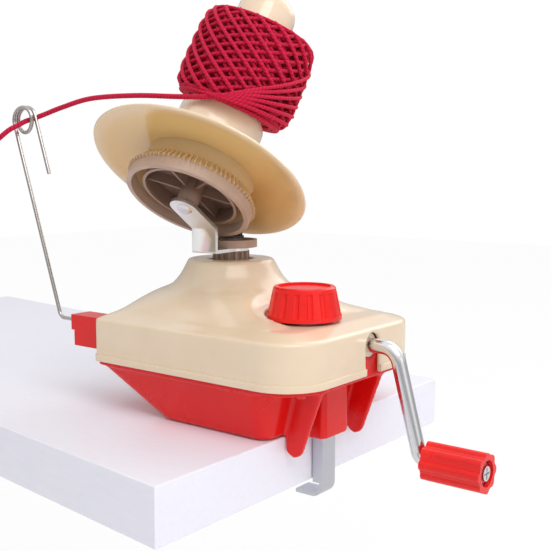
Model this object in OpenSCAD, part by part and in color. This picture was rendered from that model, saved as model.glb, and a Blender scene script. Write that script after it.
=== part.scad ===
// Hand-cranked yarn ball winder with table clamp, all sizes in millimetres.
// X points to the crank, Z points up, the seat on the table is z = 0.

/* [Housing] */
// Length of the housing along the crank
body_l = 146; // [143:1:149]
// Width of the housing
body_w = 122; // [120:1:125]
// Corner radius of the housing at the crank end
front_r = 26; // [24:1:27]
// Wall thickness of cover and tub
wall = 2.4; // [2.1:0.1:2.6]
// Height of the neck above the table
neck_top = 84.5; // [84:0.25:85.5]
// Radius of the flat neck top
neck_r = 25; // [24:0.5:26]

/* [Crank] */
// Diameter of the crank rod
rod_d = 8; // [7.6:0.1:8.2]
// Distance from crank axis to grip axis
crank_throw = 56.5; // [52:0.5:60]
// Length of the grip
grip_l = 33; // [30:0.5:36]
// Radius of the grip over its ribs
grip_r = 10.5; // [10:0.25:11]
// Number of ribs on the grip
grip_ribs = 8; // [7:1:9]

/* [Spool] */
// Radius of the dish
dish_r = 62.8; // [60:0.4:64]
// Radius of the spool foot under the yarn
foot_r = 25; // [24.4:0.2:25.4]
// Radius of the winding core
core_r = 18; // [17:0.5:19]
// Distance from ring gear face to the top of the cap
spool_h = 145; // [143:0.5:148]

/* [Clamp] */
// Radius of the clamp knob at its base
knob_r = 20.2; // [19:0.2:20.8]
// Height of the clamp knob
knob_h = 17.5; // [16:0.5:19]
// Number of flutes on the knob
knob_flutes = 16; // [14:1:18]
// Height of the strap foot below the table seat
clamp_drop = 36.5; // [34:0.5:40]
// Width of the clamp strap
strap_w = 12; // [11:0.5:12]

/* [Yarn guide] */
// Diameter of the guide wire
wire_d = 2.3; // [2:0.1:2.4]
// Radius of the eye
eye_r = 7.6; // [7:0.2:8.2]
// Length of the free tail beside the eye
tail_l = 37; // [30:1:42]

/* [Yarn] */
// Diameter of the yarn
yarn_d = 3; // [2.6:0.1:3]
// Radius of the wound ball
ball_r = 36.25; // [36:0.25:36.5]

/* [Hidden] */
$fn = 48;
eps = 0.02;
lap = 0.25;
run = 0.05;
gap = 0.35;
back_r = 5;
step = 0.6;
cover_z = 28;
side_z = 51;
edge_z = 52.4;
deck_z = 55.5;
deck_in = deck_z - wall - 0.2;
boss_z = 33.4;
skirt_z = 64;
skirt_r = 36;
shoulder_z = 73;
shoulder_r = 31;
neck_hole_r = 13.3;
nx = -27;
ny = 8;
crank_z = 43.5;
rod_r = rod_d / 2;
bush_r = 6.5;
end_x = body_l / 2;
side_y = body_w / 2;

// Gearing: module, teeth and pitch sizes
mod = 1.25;
sleeve_n = 16;
outer_n = 46;
inner_n = 32;
sleeve_pr = mod * sleeve_n / 2;
outer_pr = mod * outer_n / 2;
inner_pr = mod * inner_n / 2;
addendum = 0.9;
dedendum = 1.15;
row_w = 4;
pitch_x = nx + sleeve_pr;
crown_root_x = pitch_x + dedendum;
crown_t = 4;
hub_end = -3;
sleeve_bot = crank_z + outer_pr - row_w / 2 - 0.6;
sleeve_top = 89;
arm_t = 2;
collar_screw_r = 7.45;
collar_bot = sleeve_top + arm_t;
collar_top = 95.5;
tube_r = 6;
pin_r = 2;
inner_bot = crank_z + inner_pr - row_w / 2 - 0.5;
inner_top = crank_z + inner_pr + row_w / 2 + 0.5;
tower_top = inner_bot - 1.3;
spigot_r = 3.4;

// Tilted spool frame
tilt = 35;
arm_az = 94;
cross_z = 175.8;
cross_d = 70.4;
ring_n = 78;
pinion_n = 14;
pinion_pr = 6.2;
pinion_bot = 96.4;
pinion_top = 108.6;
tooth_t0 = 6.5;
tooth_t1 = 12;
band_r = 36;
band_in = 33;
axle_r = 3;
hub_r = 6.5;
plate_t = 2;
plate_low = -4.2;
ring_screw_r = 29.05;

// Clamp positions
bx = 38.5;
by = -8;
bolt_r = 3;
knob_room = 1.2;
table_x = 48;
strap_x = 48.7;
strap_d = 6.3;
strap_t = 2;
flange_z = 18;
fin_t = 3.2;
fin_tip_z = -5;
fin_tip_r = 5.2;
pocket_x = 60;
pocket_w = 25;
pocket_z = -4;

// Guide positions
gy = 11 - side_y;
gz = 47.5;
block_dy = 3.4;
block_face = -end_x + step - eps;
block_x = block_face - 22.6;
bend_x = block_x - 18;
wire_r = wire_d / 2;
leg_lean = 18.6;
leg_top_z = 164;

// Yarn winding
loops = 12;
waves = 17;
wave_rings = 30;
turn_soft = 0.999;
ball_t = 95.5;
ball_a = 29.5;
end_drop = 2.6;
ball_slant = 0.45;
slant_az = 44;
ball_off = polar(1.5, 314);
yarn_r = yarn_d / 2;
lay = yarn_r + 1.15;
mid_r = ball_r - lay - yarn_r;
ball_sides = 6;
ring_step = 360 / wave_rings;
last_ring = waves * wave_rings - 1;
strand_sides = 8;
strand_pts = [[-4, -23.5, 175.5], [-14, -25.8, 175.6], [-35, -27.4, 176.6], [-66, -30.2, 178.5],
  [-100, -33.5, 178.2], [-124, -36, 173.8], [-136, -39.5, 170], [-141.5, -44, 167.3], [-143, -49, 165.5],
  [-143.5, -54, 163], [-147, -59, 159.5], [-156, -64, 151.5]];
strand_n = 7;

cream = [0.90, 0.82, 0.70];
red = [0.86, 0.14, 0.12];
taupe = [0.70, 0.61, 0.55];
steel = [0.76, 0.77, 0.79];
black = [0.08, 0.08, 0.09];
crimson = [0.76, 0.10, 0.26];

// Helpers
function unit(v) = v / norm(v);
function polar(r, a) = [r * cos(a), r * sin(a)];
function clampv(v, lo, hi) = min(max(v, lo), hi);
function pitch_r(t) = ((cross_d - t) * sin(tilt) - pinion_pr) / cos(tilt);

module at_neck() {
  translate([nx, ny, 0]) children();
}

module arm_frame() {
  translate([nx, ny, 0]) rotate([0, 0, arm_az]) children();
}

module spool_frame() {
  translate([nx, ny, cross_z])
    rotate([0, 0, arm_az])
      rotate([0, tilt, 0])
        translate([0, 0, -cross_d])
          children();
}

module ring(r_out, r_in, z0, z1) {
  translate([0, 0, z0]) difference() {
    cylinder(h = z1 - z0, r = r_out);
    translate([0, 0, -1]) cylinder(h = z1 - z0 + 2, r = r_in);
  }
}

// Round bar from p to q
module seg(p, q, r) {
  d = q - p;
  len = norm(d);
  translate(p) rotate([0, acos(d[2] / len), atan2(d[1], d[0])]) cylinder(h = len, r = r);
}

// Round bar through a corner in the XZ plane, drawn as its arc only
module arc_xz(a, b, c, big_r, r) {
  u1 = unit(a - b);
  u2 = unit(c - b);
  half = acos(u1 * u2) / 2;
  t = big_r / tan(half);
  m = b + unit(u1 + u2) * big_r / sin(half);
  pa = b + u1 * t;
  pc = b + u2 * t;
  a0 = atan2(pa[2] - m[2], pa[0] - m[0]);
  a1 = atan2(pc[2] - m[2], pc[0] - m[0]);
  turn = (a1 - a0 + 900) % 360 - 180;
  translate(m)
    rotate([90, 0, 0])
      rotate([0, 0, turn > 0 ? a0 : a1])
        rotate_extrude(angle = abs(turn))
          translate([big_r, 0]) circle(r + eps);
}

// Point where a straight bar ends, a little inside the bend at corner b
function trim(a, b, c, big_r) = b + unit(c - b) * (big_r / tan(acos(unit(a - b) * unit(c - b)) / 2) - lap);

// Rounded housing outline, moved inwards by inset
module plan(inset) {
  rf = front_r - inset;
  rb = max(back_r - inset, 0.6);
  x0 = inset - end_x;
  x1 = end_x - inset;
  y1 = side_y - inset;
  translate([x0 + rb, -y1]) square([x1 - rf - x0 - rb, 2 * y1]);
  translate([x0, -y1 + rb]) square([x1 - x0 - rf, 2 * (y1 - rb)]);
  translate([x0 + rb, -y1 + rf]) square([x1 - x0 - rb, 2 * (y1 - rf)]);
  for (s = [-1, 1]) {
    translate([x0 + rb, s * (y1 - rb)]) circle(rb);
    translate([x1 - rf, s * (y1 - rf)]) circle(rf);
  }
}

module slab(inset, z, h) {
  translate([0, 0, z]) linear_extrude(h) plan(inset);
}

// Straight toothed wheel outline
module toothed(n, r_root, r_tip, w_root, w_tip, turn) {
  polygon([for (i = [0:n - 1], k = [0:3])
    let (a = 360 * i / n + turn, tip = k == 1 || k == 2, s = k < 2 ? -1 : 1,
      r = tip ? r_tip : r_root, w = tip ? w_tip : w_root)
    polar(r, a + s * asin(w / 2 / r))]);
}

// Flank side of the hill, one hull per side
module hill(side, inset, z_low, z_high, r_high) {
  hull() {
    for (p = [[2 - end_x + inset, 3 - side_y + inset],
        [2 - end_x + inset, side_y - 3 - inset],
        [end_x - 13 - inset, side * (side_y - 8 - inset)]])
      translate([p[0], p[1], z_low]) cylinder(h = 0.4, r = 1, $fn = 12);
    translate([nx, ny, z_high]) cylinder(h = 0.4, r = r_high, $fn = 32);
  }
}

module crank_slot() {
  for (w = [2 * (bush_r + 0.25)])
    translate([end_x - 8, ny, 0]) {
      translate([0, -w / 2, cover_z - 1]) cube([12, w, crank_z - cover_z + 1]);
      translate([0, 0, crank_z]) rotate([0, 90, 0]) cylinder(h = 12, r = w / 2);
    }
}

screw_at = [[end_x - 11, 18 - side_y, 25.6], [end_x - 11, side_y - 18, 25.6],
  [13 - end_x, 13 - side_y, 28], [13 - end_x, side_y - 13, 28]];

module top_cover() {
  color(cream) difference() {
    union() {
      slab(0, cover_z, 3.8);
      slab(step, cover_z, side_z - cover_z);
      hull() {
        slab(step, side_z - 0.5, 0.4);
        slab(step + 0.6, edge_z - 0.4, 0.4);
        slab(14, deck_z - 0.4, 0.4);
      }
      hill(-1, 0, edge_z - 0.6, skirt_z - 0.4, skirt_r);
      hill(1, 0, edge_z - 0.6, skirt_z - 0.4, skirt_r);
      at_neck() {
        translate([0, 0, skirt_z - 0.01]) cylinder(h = shoulder_z - skirt_z + 0.01, r1 = skirt_r, r2 = shoulder_r);
        translate([0, 0, shoulder_z - 0.01]) cylinder(h = neck_top - 0.8 - shoulder_z, r1 = shoulder_r, r2 = neck_r + 0.4);
        translate([0, 0, neck_top - 0.82]) cylinder(h = 0.82, r1 = neck_r + 0.4, r2 = neck_r - 0.4);
      }
    }
    difference() {
      union() {
        slab(step + wall, cover_z - 1, side_z - cover_z);
        hull() {
          slab(step + wall, side_z - 2, 0.4);
          slab(14 + wall, deck_in - 0.4, 0.4);
        }
        difference() {
          union() {
            hill(-1, wall + 0.6, edge_z - 4, skirt_z - wall - 0.8, skirt_r - wall - 0.4);
            hill(1, wall + 0.6, edge_z - 4, skirt_z - wall - 0.8, skirt_r - wall - 0.4);
          }
          translate([bx, by, deck_in]) cylinder(h = 30, r = knob_r + knob_room + wall);
        }
      }
      for (p = screw_at)
        translate([p[0], p[1], boss_z]) cylinder(h = neck_top - boss_z, r = 3.6);
    }
    translate([bx, by, deck_z]) cylinder(h = 30, r = knob_r + knob_room);
    at_neck() {
      translate([0, 0, skirt_z - wall - 0.6])
        cylinder(h = shoulder_z - skirt_z + 0.3, r1 = skirt_r - wall - 0.4, r2 = shoulder_r - wall - 0.2);
      translate([0, 0, shoulder_z - wall - 0.4])
        cylinder(h = neck_top - shoulder_z + 0.2, r1 = shoulder_r - wall - 0.2, r2 = neck_r - wall);
      translate([0, 0, neck_top - 6]) cylinder(h = 8, r = neck_hole_r);
    }
    crank_slot();
    translate([bx, by, deck_z - 8]) cylinder(h = 12, r = bolt_r + run);
    for (s = [-1, 1])
      translate([-end_x - 1, gy + s * block_dy, 38.5]) rotate([0, 90, 0]) cylinder(h = 8, r = 1.3 + eps);
    for (p = screw_at)
      translate([p[0], p[1], boss_z - 0.4]) cylinder(h = 12, r = 1.5 + eps);
  }
}

module tub_hull(inset, z_low, z_high) {
  hull() {
    for (s = [-1, 1]) {
      translate([10 - end_x, s * (side_y - 8), z_high]) cylinder(h = 0.4, r = 5 - inset, $fn = 32);
      translate([table_x - 8, s * (side_y - 17), z_high]) cylinder(h = 0.4, r = 14 - inset, $fn = 32);
      translate([0, s * (side_y - 15), z_low + 2]) cylinder(h = 0.4, r = 7 - inset, $fn = 32);
      translate([table_x - 8, s * (side_y - 16), z_low + 2]) cylinder(h = 0.4, r = 8 - inset, $fn = 32);
      translate([0, s * (side_y - 15), z_low]) cylinder(h = 0.4, r = 5 - inset, $fn = 32);
      translate([table_x - 8, s * (side_y - 16), z_low]) cylinder(h = 0.4, r = 6 - inset, $fn = 32);
    }
  }
}

// Gusset fin under the front overhang, with a round tip in front of the table
module fin(y) {
  c = [table_x + gap + fin_tip_r, fin_tip_z];
  p = [end_x - 2.4, cover_z - 2.2];
  d = p - c;
  a = atan2(d[1], d[0]) - acos(fin_tip_r / norm(d));
  translate([0, y + fin_t / 2, 0]) rotate([90, 0, 0]) linear_extrude(fin_t) {
    polygon([[table_x + gap, p[1]], p, c + polar(fin_tip_r, a), c + polar(fin_tip_r, -90),
      [table_x + gap, c[1]]]);
    translate(c) circle(fin_tip_r);
  }
}

module bottom_tub() {
  lip_in = step + wall + 0.3;
  color(red) difference() {
    union() {
      difference() {
        union() {
          tub_hull(0, 0, cover_z - 2.6);
          slab(2, cover_z - 2.4, 2.2);
          slab(lip_in, cover_z - 0.4, 5.4);
        }
        tub_hull(wall, wall, cover_z - 2.3);
        translate([0, 0, cover_z - 2.4]) linear_extrude(9) intersection() {
          plan(lip_in + 1.8);
          translate([-100, -100]) square([154 - wall, 200]);
        }
        translate([0, 0, cover_z]) linear_extrude(9) plan(lip_in + 1.8);
      }
      fin(by - 28.4);
      fin(by + 28.4);
      translate([pocket_x - 16, by - pocket_w / 2, 0]) cube([13, pocket_w, cover_z - 2]);
      translate([table_x, by - pocket_w / 2, pocket_z]) cube([pocket_x - 3 - table_x, pocket_w, cover_z - 2 - pocket_z]);
      translate([table_x, by - pocket_w / 2 + 3, pocket_z]) cube([pocket_x - table_x, pocket_w - 6, cover_z - 2 - pocket_z]);
      for (s = [-1, 1])
        translate([pocket_x - 3, by + s * (pocket_w / 2 - 3), pocket_z]) cylinder(h = cover_z - 2 - pocket_z, r = 3);
      at_neck() {
        translate([0, 0, 11]) cylinder(h = tower_top - 11, r = 6);
        translate([0, 0, 11]) cylinder(h = 6, r1 = 8.4, r2 = 6);
      }
      translate([6, ny - 9, 1]) cube([6, 18, crank_z - 1]);
      translate([6, ny, crank_z]) rotate([0, 90, 0]) cylinder(h = 6, r = 9);
      translate([end_x - 13, ny - bush_r - 3, cover_z - 2]) cube([9.8, 2 * bush_r + 6, crank_z - cover_z + 2]);
      for (p = screw_at)
        translate([p[0], p[1], p[0] > 0 ? 25.6 : 23.6]) cylinder(h = p[0] > 0 ? 7.4 : 9.4, r = 4);
    }
    translate([table_x + 0.2, by - strap_w / 2 - gap, pocket_z - 1]) cube([9.4, strap_w + 2 * gap, 60]);
    translate([table_x - 1, by - strap_w / 2 - gap, pocket_z - 1]) cube([4, strap_w + 2 * gap, 1 - pocket_z]);
    translate([28, by - strap_w / 2 - gap, wall]) cube([22, strap_w + 2 * gap, 29]);
    at_neck() translate([0, 0, 30]) cylinder(h = 40, r = pin_r + eps);
    translate([0, ny, crank_z]) rotate([0, 90, 0]) cylinder(h = 80, r = bush_r + eps);
    for (p = screw_at) {
      translate([p[0], p[1], 10]) cylinder(h = 30, r = 1.7);
      translate([p[0], p[1], 10]) cylinder(h = p[2] - 10, r = 3.3);
    }
  }
}

module cover_screws() {
  color(steel) for (p = screw_at)
    translate(p) {
      translate([0, 0, -2]) cylinder(h = 2 - eps, r = 3);
      translate([0, 0, -0.1]) cylinder(h = 15, r = 1.5);
    }
}

module centre_pin() {
  color(steel) at_neck() translate([0, 0, 30 + eps]) cylinder(h = 72, r = pin_r);
}

module thrust_washer() {
  color(steel) at_neck() ring(7, pin_r + run, tower_top + eps, tower_top + 1);
}

module crank_bush(x0, x1, flange) {
  translate([x0, ny, crank_z]) rotate([0, 90, 0]) difference() {
    union() {
      cylinder(h = x1 - x0, r = bush_r);
      cylinder(h = flange, r = bush_r + 1.4);
    }
    translate([0, 0, -1]) cylinder(h = x1 - x0 + 2, r = rod_r + run);
  }
}

module crank_bush_front() {
  color(cream) crank_bush(end_x - 14.6, end_x - 3.4, 1.4);
}

module crank_bush_rear() {
  color(cream) crank_bush(4.4, 13.2, 1.4);
}

module guide_block() {
  color(red) difference() {
    translate([0, gy + 7, 0]) rotate([90, 0, 0]) linear_extrude(14)
      polygon([[block_face, 34], [block_face, side_z], [block_face - 0.8, 52], [block_x, 52], [block_x, 43],
        [block_x + 2.5, 43], [block_x + 2.5, 34]]);
    translate([block_x - 1, gy, gz]) rotate([0, 90, 0]) cylinder(h = 18, r = wire_r + run);
    for (s = [-1, 1])
      translate([block_face - 13, gy + s * block_dy, 38.5]) rotate([0, 90, 0]) cylinder(h = 14, r = 1.3 + eps);
  }
}

module guide_block_screws() {
  x_in = step + wall - end_x;
  color(steel) for (s = [-1, 1])
    translate([x_in + eps, gy + s * block_dy, 38.5]) rotate([0, 90, 0]) {
      cylinder(h = 1.8, r = 2.6);
      translate([0, 0, -14]) cylinder(h = 14.2, r = 1.3);
    }
}

// Crank
crank_p0 = [crown_root_x + 2, ny, crank_z];
crank_p1 = [end_x + 13, ny, crank_z];
crank_p2 = [end_x + 28.5, ny, crank_z - crank_throw];
grip_x = end_x + 33;
crank_p3 = [grip_x - 3.5 + grip_l, ny, crank_z - crank_throw];
crank_bend = 10;
grip_bend = 5.5;

module crank_rod() {
  color(steel) difference() {
    union() {
      seg(crank_p0, trim(crank_p2, crank_p1, crank_p0, crank_bend), rod_r);
      arc_xz(crank_p0, crank_p1, crank_p2, crank_bend, rod_r);
      seg(trim(crank_p0, crank_p1, crank_p2, crank_bend), trim(crank_p3, crank_p2, crank_p1, grip_bend), rod_r);
      arc_xz(crank_p1, crank_p2, crank_p3, grip_bend, rod_r);
      seg(trim(crank_p1, crank_p2, crank_p3, grip_bend), crank_p3, rod_r);
    }
    translate([-7, ny - 12, crank_z]) rotate([-90, 0, 0]) cylinder(h = 24, r = 1.2 + eps);
    translate(crank_p3 - [9, 0, 0]) rotate([0, 90, 0]) cylinder(h = 10, r = 2 + eps);
    for (x = [3, 13.7])
      translate([x, ny, crank_z]) rotate([0, 90, 0]) ring(rod_r + 1, rod_r - 0.6, 0, 1.2);
  }
}

module crown_row(n, pr, phase) {
  tooth_h = addendum + dedendum;
  for (i = [0:n - 1])
    rotate([0, 0, 360 * i / n + phase])
      translate([pr - row_w / 2, 0, 0])
        rotate([90, 0, 90])
          linear_extrude(row_w)
            polygon([[-0.95, -0.3], [0.95, -0.3], [0.42, tooth_h], [-0.42, tooth_h]]);
}

// Drawn with the teeth along +Z, then turned so they point to -X
module crown_gear() {
  color(taupe) translate([crown_root_x, ny, crank_z]) rotate([0, -90, 0]) difference() {
    union() {
      translate([0, 0, -crown_t]) cylinder(h = crown_t, r = 31);
      translate([0, 0, crown_root_x - hub_end]) cylinder(h = hub_end - crown_root_x, r = 9);
      crown_row(outer_n, outer_pr, 0);
      crown_row(inner_n, inner_pr, 0);
    }
    translate([0, 0, -30]) cylinder(h = 28 + eps, r = rod_r + eps);
    translate([0, 12, crown_root_x + 7]) rotate([90, 0, 0]) cylinder(h = 24, r = 1.2 + eps);
    for (a = [0:60:300])
      rotate([0, 0, a + 30]) translate([13.5, 0, -10]) cylinder(h = 20, r = 3);
  }
}

module gear_pin() {
  color(steel) translate([-7, ny - 8.9, crank_z]) rotate([-90, 0, 0]) cylinder(h = 17.8, r = 1.2);
}

module crank_clips() {
  color(steel) for (x = [3, 13.7])
    translate([x, ny, crank_z]) rotate([0, 90, 0]) difference() {
      ring(7, rod_r - 0.6 + eps, 0.1, 1.1);
      translate([-(rod_r - 0.6), -8, -1]) cube([2 * (rod_r - 0.6), 8, 3]);
    }
}

module crank_grip() {
  lobe = 2.9;
  recess = 4.2;
  color(red) translate([grip_x, ny, crank_z - crank_throw]) rotate([0, 90, 0]) difference() {
    linear_extrude(grip_l) {
      circle(grip_r - 1.3);
      for (i = [0:grip_ribs - 1])
        translate(polar(grip_r - lobe, 360 * i / grip_ribs)) circle(lobe);
    }
    translate([0, 0, -1]) cylinder(h = grip_l + 2, r = rod_r + run);
    translate([0, 0, grip_l - recess]) cylinder(h = recess + 1, r = 6.8);
  }
}

module grip_washer() {
  color(steel) translate(crank_p3) rotate([0, 90, 0]) ring(6, 2 + run, eps, 1);
}

module grip_screw() {
  color(steel) translate(crank_p3) rotate([0, 90, 0]) {
    translate([0, 0, -8]) cylinder(h = 9.2, r = 2);
    difference() {
      translate([0, 0, 1 + eps]) cylinder(h = 2.2, r = 3.8);
      translate([-3, -0.45, 2.2]) cube([6, 0.9, 3]);
      translate([-0.45, -3, 2.2]) cube([0.9, 6, 3]);
    }
  }
}

// Sleeve carrying the arm: a gap faces the crown gear at rest
module sleeve_pinion() {
  color(taupe) at_neck() difference() {
    translate([0, 0, sleeve_bot]) linear_extrude(sleeve_top - sleeve_bot)
      toothed(sleeve_n, sleeve_pr - dedendum, sleeve_pr + addendum, 2.0, 0.85, 180 / sleeve_n);
    translate([0, 0, sleeve_bot - 1]) cylinder(h = 40, r = tube_r + run);
    rotate([0, 0, arm_az]) for (a = [0, 120, 240])
      rotate([0, 0, a]) translate([collar_screw_r, 0, sleeve_top - 7]) cylinder(h = 8, r = 0.8 + eps);
  }
}

module spindle_arm() {
  up_x = -26;
  joint_s = 20.4;
  color(steel) difference() {
    union() {
      arm_frame() {
        translate([0, 0, sleeve_top]) linear_extrude(arm_t) {
          circle(10.6);
          translate([up_x + 1, -8.5]) square([26, 17]);
        }
        translate([up_x + 1, 0, sleeve_top + 1]) rotate([90, 0, 0]) cylinder(h = 17, r = 1, center = true);
        translate([up_x, -8.5, sleeve_top + 1]) cube([arm_t, 17, 14]);
      }
      spool_frame() {
        translate([0, 0, plate_low]) linear_extrude(plate_t) {
          circle(8.5);
          translate([0, -8.5]) square([joint_s, 17]);
        }
        translate([joint_s, 0, plate_low + 1]) rotate([90, 0, 0]) cylinder(h = 17, r = 1, center = true);
      }
    }
    at_neck() cylinder(h = 200, r = tube_r + 0.4);
    arm_frame() for (a = [0, 120, 240])
      rotate([0, 0, a]) translate([collar_screw_r, 0, sleeve_top - 1]) cylinder(h = 4, r = 0.8 + eps);
    spool_frame() translate([0, 0, -10]) cylinder(h = 12, r = axle_r + eps);
  }
}

module arm_collar() {
  color(taupe) at_neck() difference() {
    translate([0, 0, collar_bot + eps]) cylinder(h = collar_top - collar_bot, r = 15.5);
    translate([0, 0, 80]) cylinder(h = 40, r = tube_r + 0.4);
    translate([0, 0, collar_top - 1.6]) cylinder(h = 4, r = 13.6);
    rotate([0, 0, arm_az]) for (a = [0, 120, 240])
      rotate([0, 0, a]) translate([collar_screw_r, 0, 80]) cylinder(h = 40, r = 0.8 + eps);
  }
}

module collar_screws() {
  color(steel) arm_frame() for (a = [0, 120, 240])
    rotate([0, 0, a]) translate([collar_screw_r, 0, 0]) {
      translate([0, 0, sleeve_top - 6]) cylinder(h = 11, r = 0.8);
      translate([0.3, 0, collar_top - 1.6 + 2 * eps]) cylinder(h = 0.7, r = 1.2);
    }
}

module spool_axle() {
  color(steel) spool_frame() difference() {
    union() {
      translate([0, 0, plate_low - 0.6]) cylinder(h = 44, r = axle_r);
      translate([0, 0, plate_low - 1.4]) cylinder(h = 1.4 - eps, r1 = 3.4, r2 = 4.6);
    }
    ring(axle_r + 1, axle_r - 0.5, 35.4, 36.6);
  }
}

module axle_washer() {
  color(steel) spool_frame() ring(6.2, axle_r + eps, plate_low + plate_t + eps, -1.3);
}

module axle_clip() {
  color(steel) spool_frame() difference() {
    ring(6, axle_r - 0.5 + eps, 35.5, 36.5);
    translate([-(axle_r - 0.5), -7, 35]) cube([2 * axle_r - 1, 7, 3]);
  }
}

module drive_tube() {
  color(taupe) at_neck() difference() {
    union() {
      translate([0, 0, inner_bot]) linear_extrude(inner_top - inner_bot)
        toothed(sleeve_n, sleeve_pr - dedendum, sleeve_pr + addendum, 2.0, 0.85, 180 / sleeve_n);
      translate([0, 0, inner_bot]) cylinder(h = pinion_bot - inner_bot, r = tube_r);
      translate([0, 0, inner_bot]) cylinder(h = 105 - inner_bot, r = spigot_r);
    }
    translate([0, 0, inner_bot - 1]) cylinder(h = 60, r = pin_r + run);
  }
}

// Black pinion under the dish: a gap faces the ring gear at rest
module spool_pinion() {
  color(black) at_neck() difference() {
    union() {
      translate([0, 0, pinion_bot + eps]) cylinder(h = 1.2, r = 7.7);
      translate([0, 0, pinion_bot + 1]) linear_extrude(pinion_top - pinion_bot - 1)
        toothed(pinion_n, pinion_pr - 1.05, pinion_pr + 0.65, 1.25, 0.6, arm_az + 180 + 180 / pinion_n);
    }
    translate([0, 0, pinion_bot - 1]) cylinder(h = 30, r = spigot_r + eps);
  }
}

module spool() {
  top = spool_h - 12;
  color(cream) spool_frame() difference() {
    rotate_extrude($fn = 96)
    polygon([[22.5, 21.3], [34, 21.3], [44, 20.9], [54, 19.6], [dish_r - 1.6, 17.8], [dish_r - 0.4, 18],
      [dish_r, 18.7], [dish_r - 0.4, 19.4], [dish_r - 1.4, 19.8], [54, 21.8], [44, 23.4], [34, 24.6],
      [foot_r + 4, 26.5], [foot_r + 1.6, 30], [foot_r + 0.4, 40], [foot_r, 56], [foot_r - 1.2, 58], [core_r + 1, 58.6],
      [core_r, top], [core_r - 2.2, top], [core_r - 1.4, 56], [22.5, 53]]);
    for (a = [30, 150, 270])
      rotate([0, 0, a]) translate([ring_screw_r, 0, 20]) cylinder(h = 4.2, r = 1.2 + eps);
  }
}

module spool_cap() {
  top = spool_h - 12;
  color(cream) spool_frame() rotate_extrude($fn = 96)
    polygon([[0, top + eps], [core_r, top + eps], [core_r, top + 2.6],
      [core_r - 0.6, top + 5.4], [core_r - 2.4, top + 8], [core_r - 5.6, top + 10.2], [core_r - 10, top + 11.5], [0, top + 12]]);
}

module ring_gear() {
  mid = (tooth_t0 + tooth_t1) / 2;
  len = (tooth_t1 - tooth_t0) / cos(tilt);
  root = 1.1 / cos(tilt);
  color(taupe) spool_frame() difference() {
    union() {
      rotate_extrude($fn = 96)
        polygon([[band_in, 0], [band_r - 0.4, 0], [band_r, 0.4], [band_r, tooth_t0 - 0.4], [pitch_r(tooth_t0) - root, tooth_t0],
          [pitch_r(tooth_t1) - root, tooth_t1], [31.3, tooth_t1 + 0.8], [31.3, 21.25], [22.4, 21.25], [22.4, 32],
          [20, 32], [20, 14.6], [hub_r, 14.6], [hub_r, 35], [axle_r + run, 35], [axle_r + run, -0.9], [hub_r - 0.6, -0.9],
          [hub_r, 6], [hub_r, 12.8], [26, 12.8], [26, 3.5], [27.6, 3.5], [27.6, 12.8], [30.5, 12.8], [band_in - 0.6, 8]]);
      for (a = [0:60:300])
        rotate([0, 0, a]) translate([hub_r - 0.4, -0.8, 7]) cube([26.2 - hub_r, 1.6, 6]);
      for (i = [0:ring_n - 1])
        rotate([0, 0, 360 * i / ring_n])
          translate([pitch_r(mid), 0, mid])
            rotate([0, -tilt, 0])
              translate([0, 0, -len / 2])
                linear_extrude(len)
                  polygon([[-1.4, -0.65], [0.6, -0.3], [0.6, 0.3], [-1.4, 0.65]]);
    }
    for (a = [30, 150, 270])
      rotate([0, 0, a]) translate([ring_screw_r, 0, 5]) cylinder(h = 17, r = 1.2 + eps);
  }
}

module ring_screws() {
  color(steel) spool_frame() for (a = [30, 150, 270])
    rotate([0, 0, a]) translate([ring_screw_r, 0, 0]) {
      translate([0, 0, 12.8 - 1 - eps]) cylinder(h = 1, r = 1.34);
      translate([0, 0, 12]) cylinder(h = 12, r = 1.2);
    }
}

// Wound yarn: plain core, then one unbroken strand in two crossing layers
function barrel(t) = mid_r - end_drop * pow((t - ball_t) / ball_a, 4);
function slant(p) = ball_slant * (p[0] * cos(slant_az) + p[1] * sin(slant_az));
function wind_p(k) = ring_step * k;
function wind_t(k) = ball_t + ball_a * asin(turn_soft * sin(wind_p(k))) / asin(turn_soft);
function wind_r(k) = barrel(wind_t(k)) - lay * clampv(cos(wind_p(k)) / sin(180 / waves), -1, 1);
function wind(k) = let (p = polar(wind_r(k), wind_p(k) * loops / waves) + ball_off) concat(p, wind_t(k) + slant(p));
wound = [for (k = [0:last_ring]) wind(k)];

// Least gap of the strand to itself, one wave measured against all others
function along(k) = let (i = floor(k)) wound[i] + (wound[i + 1] - wound[i]) * (k - i);
wave_0 = 6 * wave_rings;
wind_gap = min([for (i = [wave_0:0.5:wave_0 + wave_rings], j = [0:0.5:last_ring - 0.5])
  if (abs(i - j) > 3) norm(along(i) - along(j)) - yarn_d]);
echo(wind_gap = wind_gap);

module yarn_core() {
  inner = core_r + 1.2;
  outer = mid_r - lay - yarn_r - norm(ball_off) - 0.5;
  half = ball_a - ball_slant * outer;
  color(crimson) spool_frame() rotate_extrude($fn = 64)
    polygon([[inner, ball_t - half - 1], [outer - 3.4, ball_t - half - 1], [outer, ball_t - half + 7],
      [outer, ball_t + half - 7], [outer - 3.4, ball_t + half + 1], [inner, ball_t + half + 1]]);
}

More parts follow.
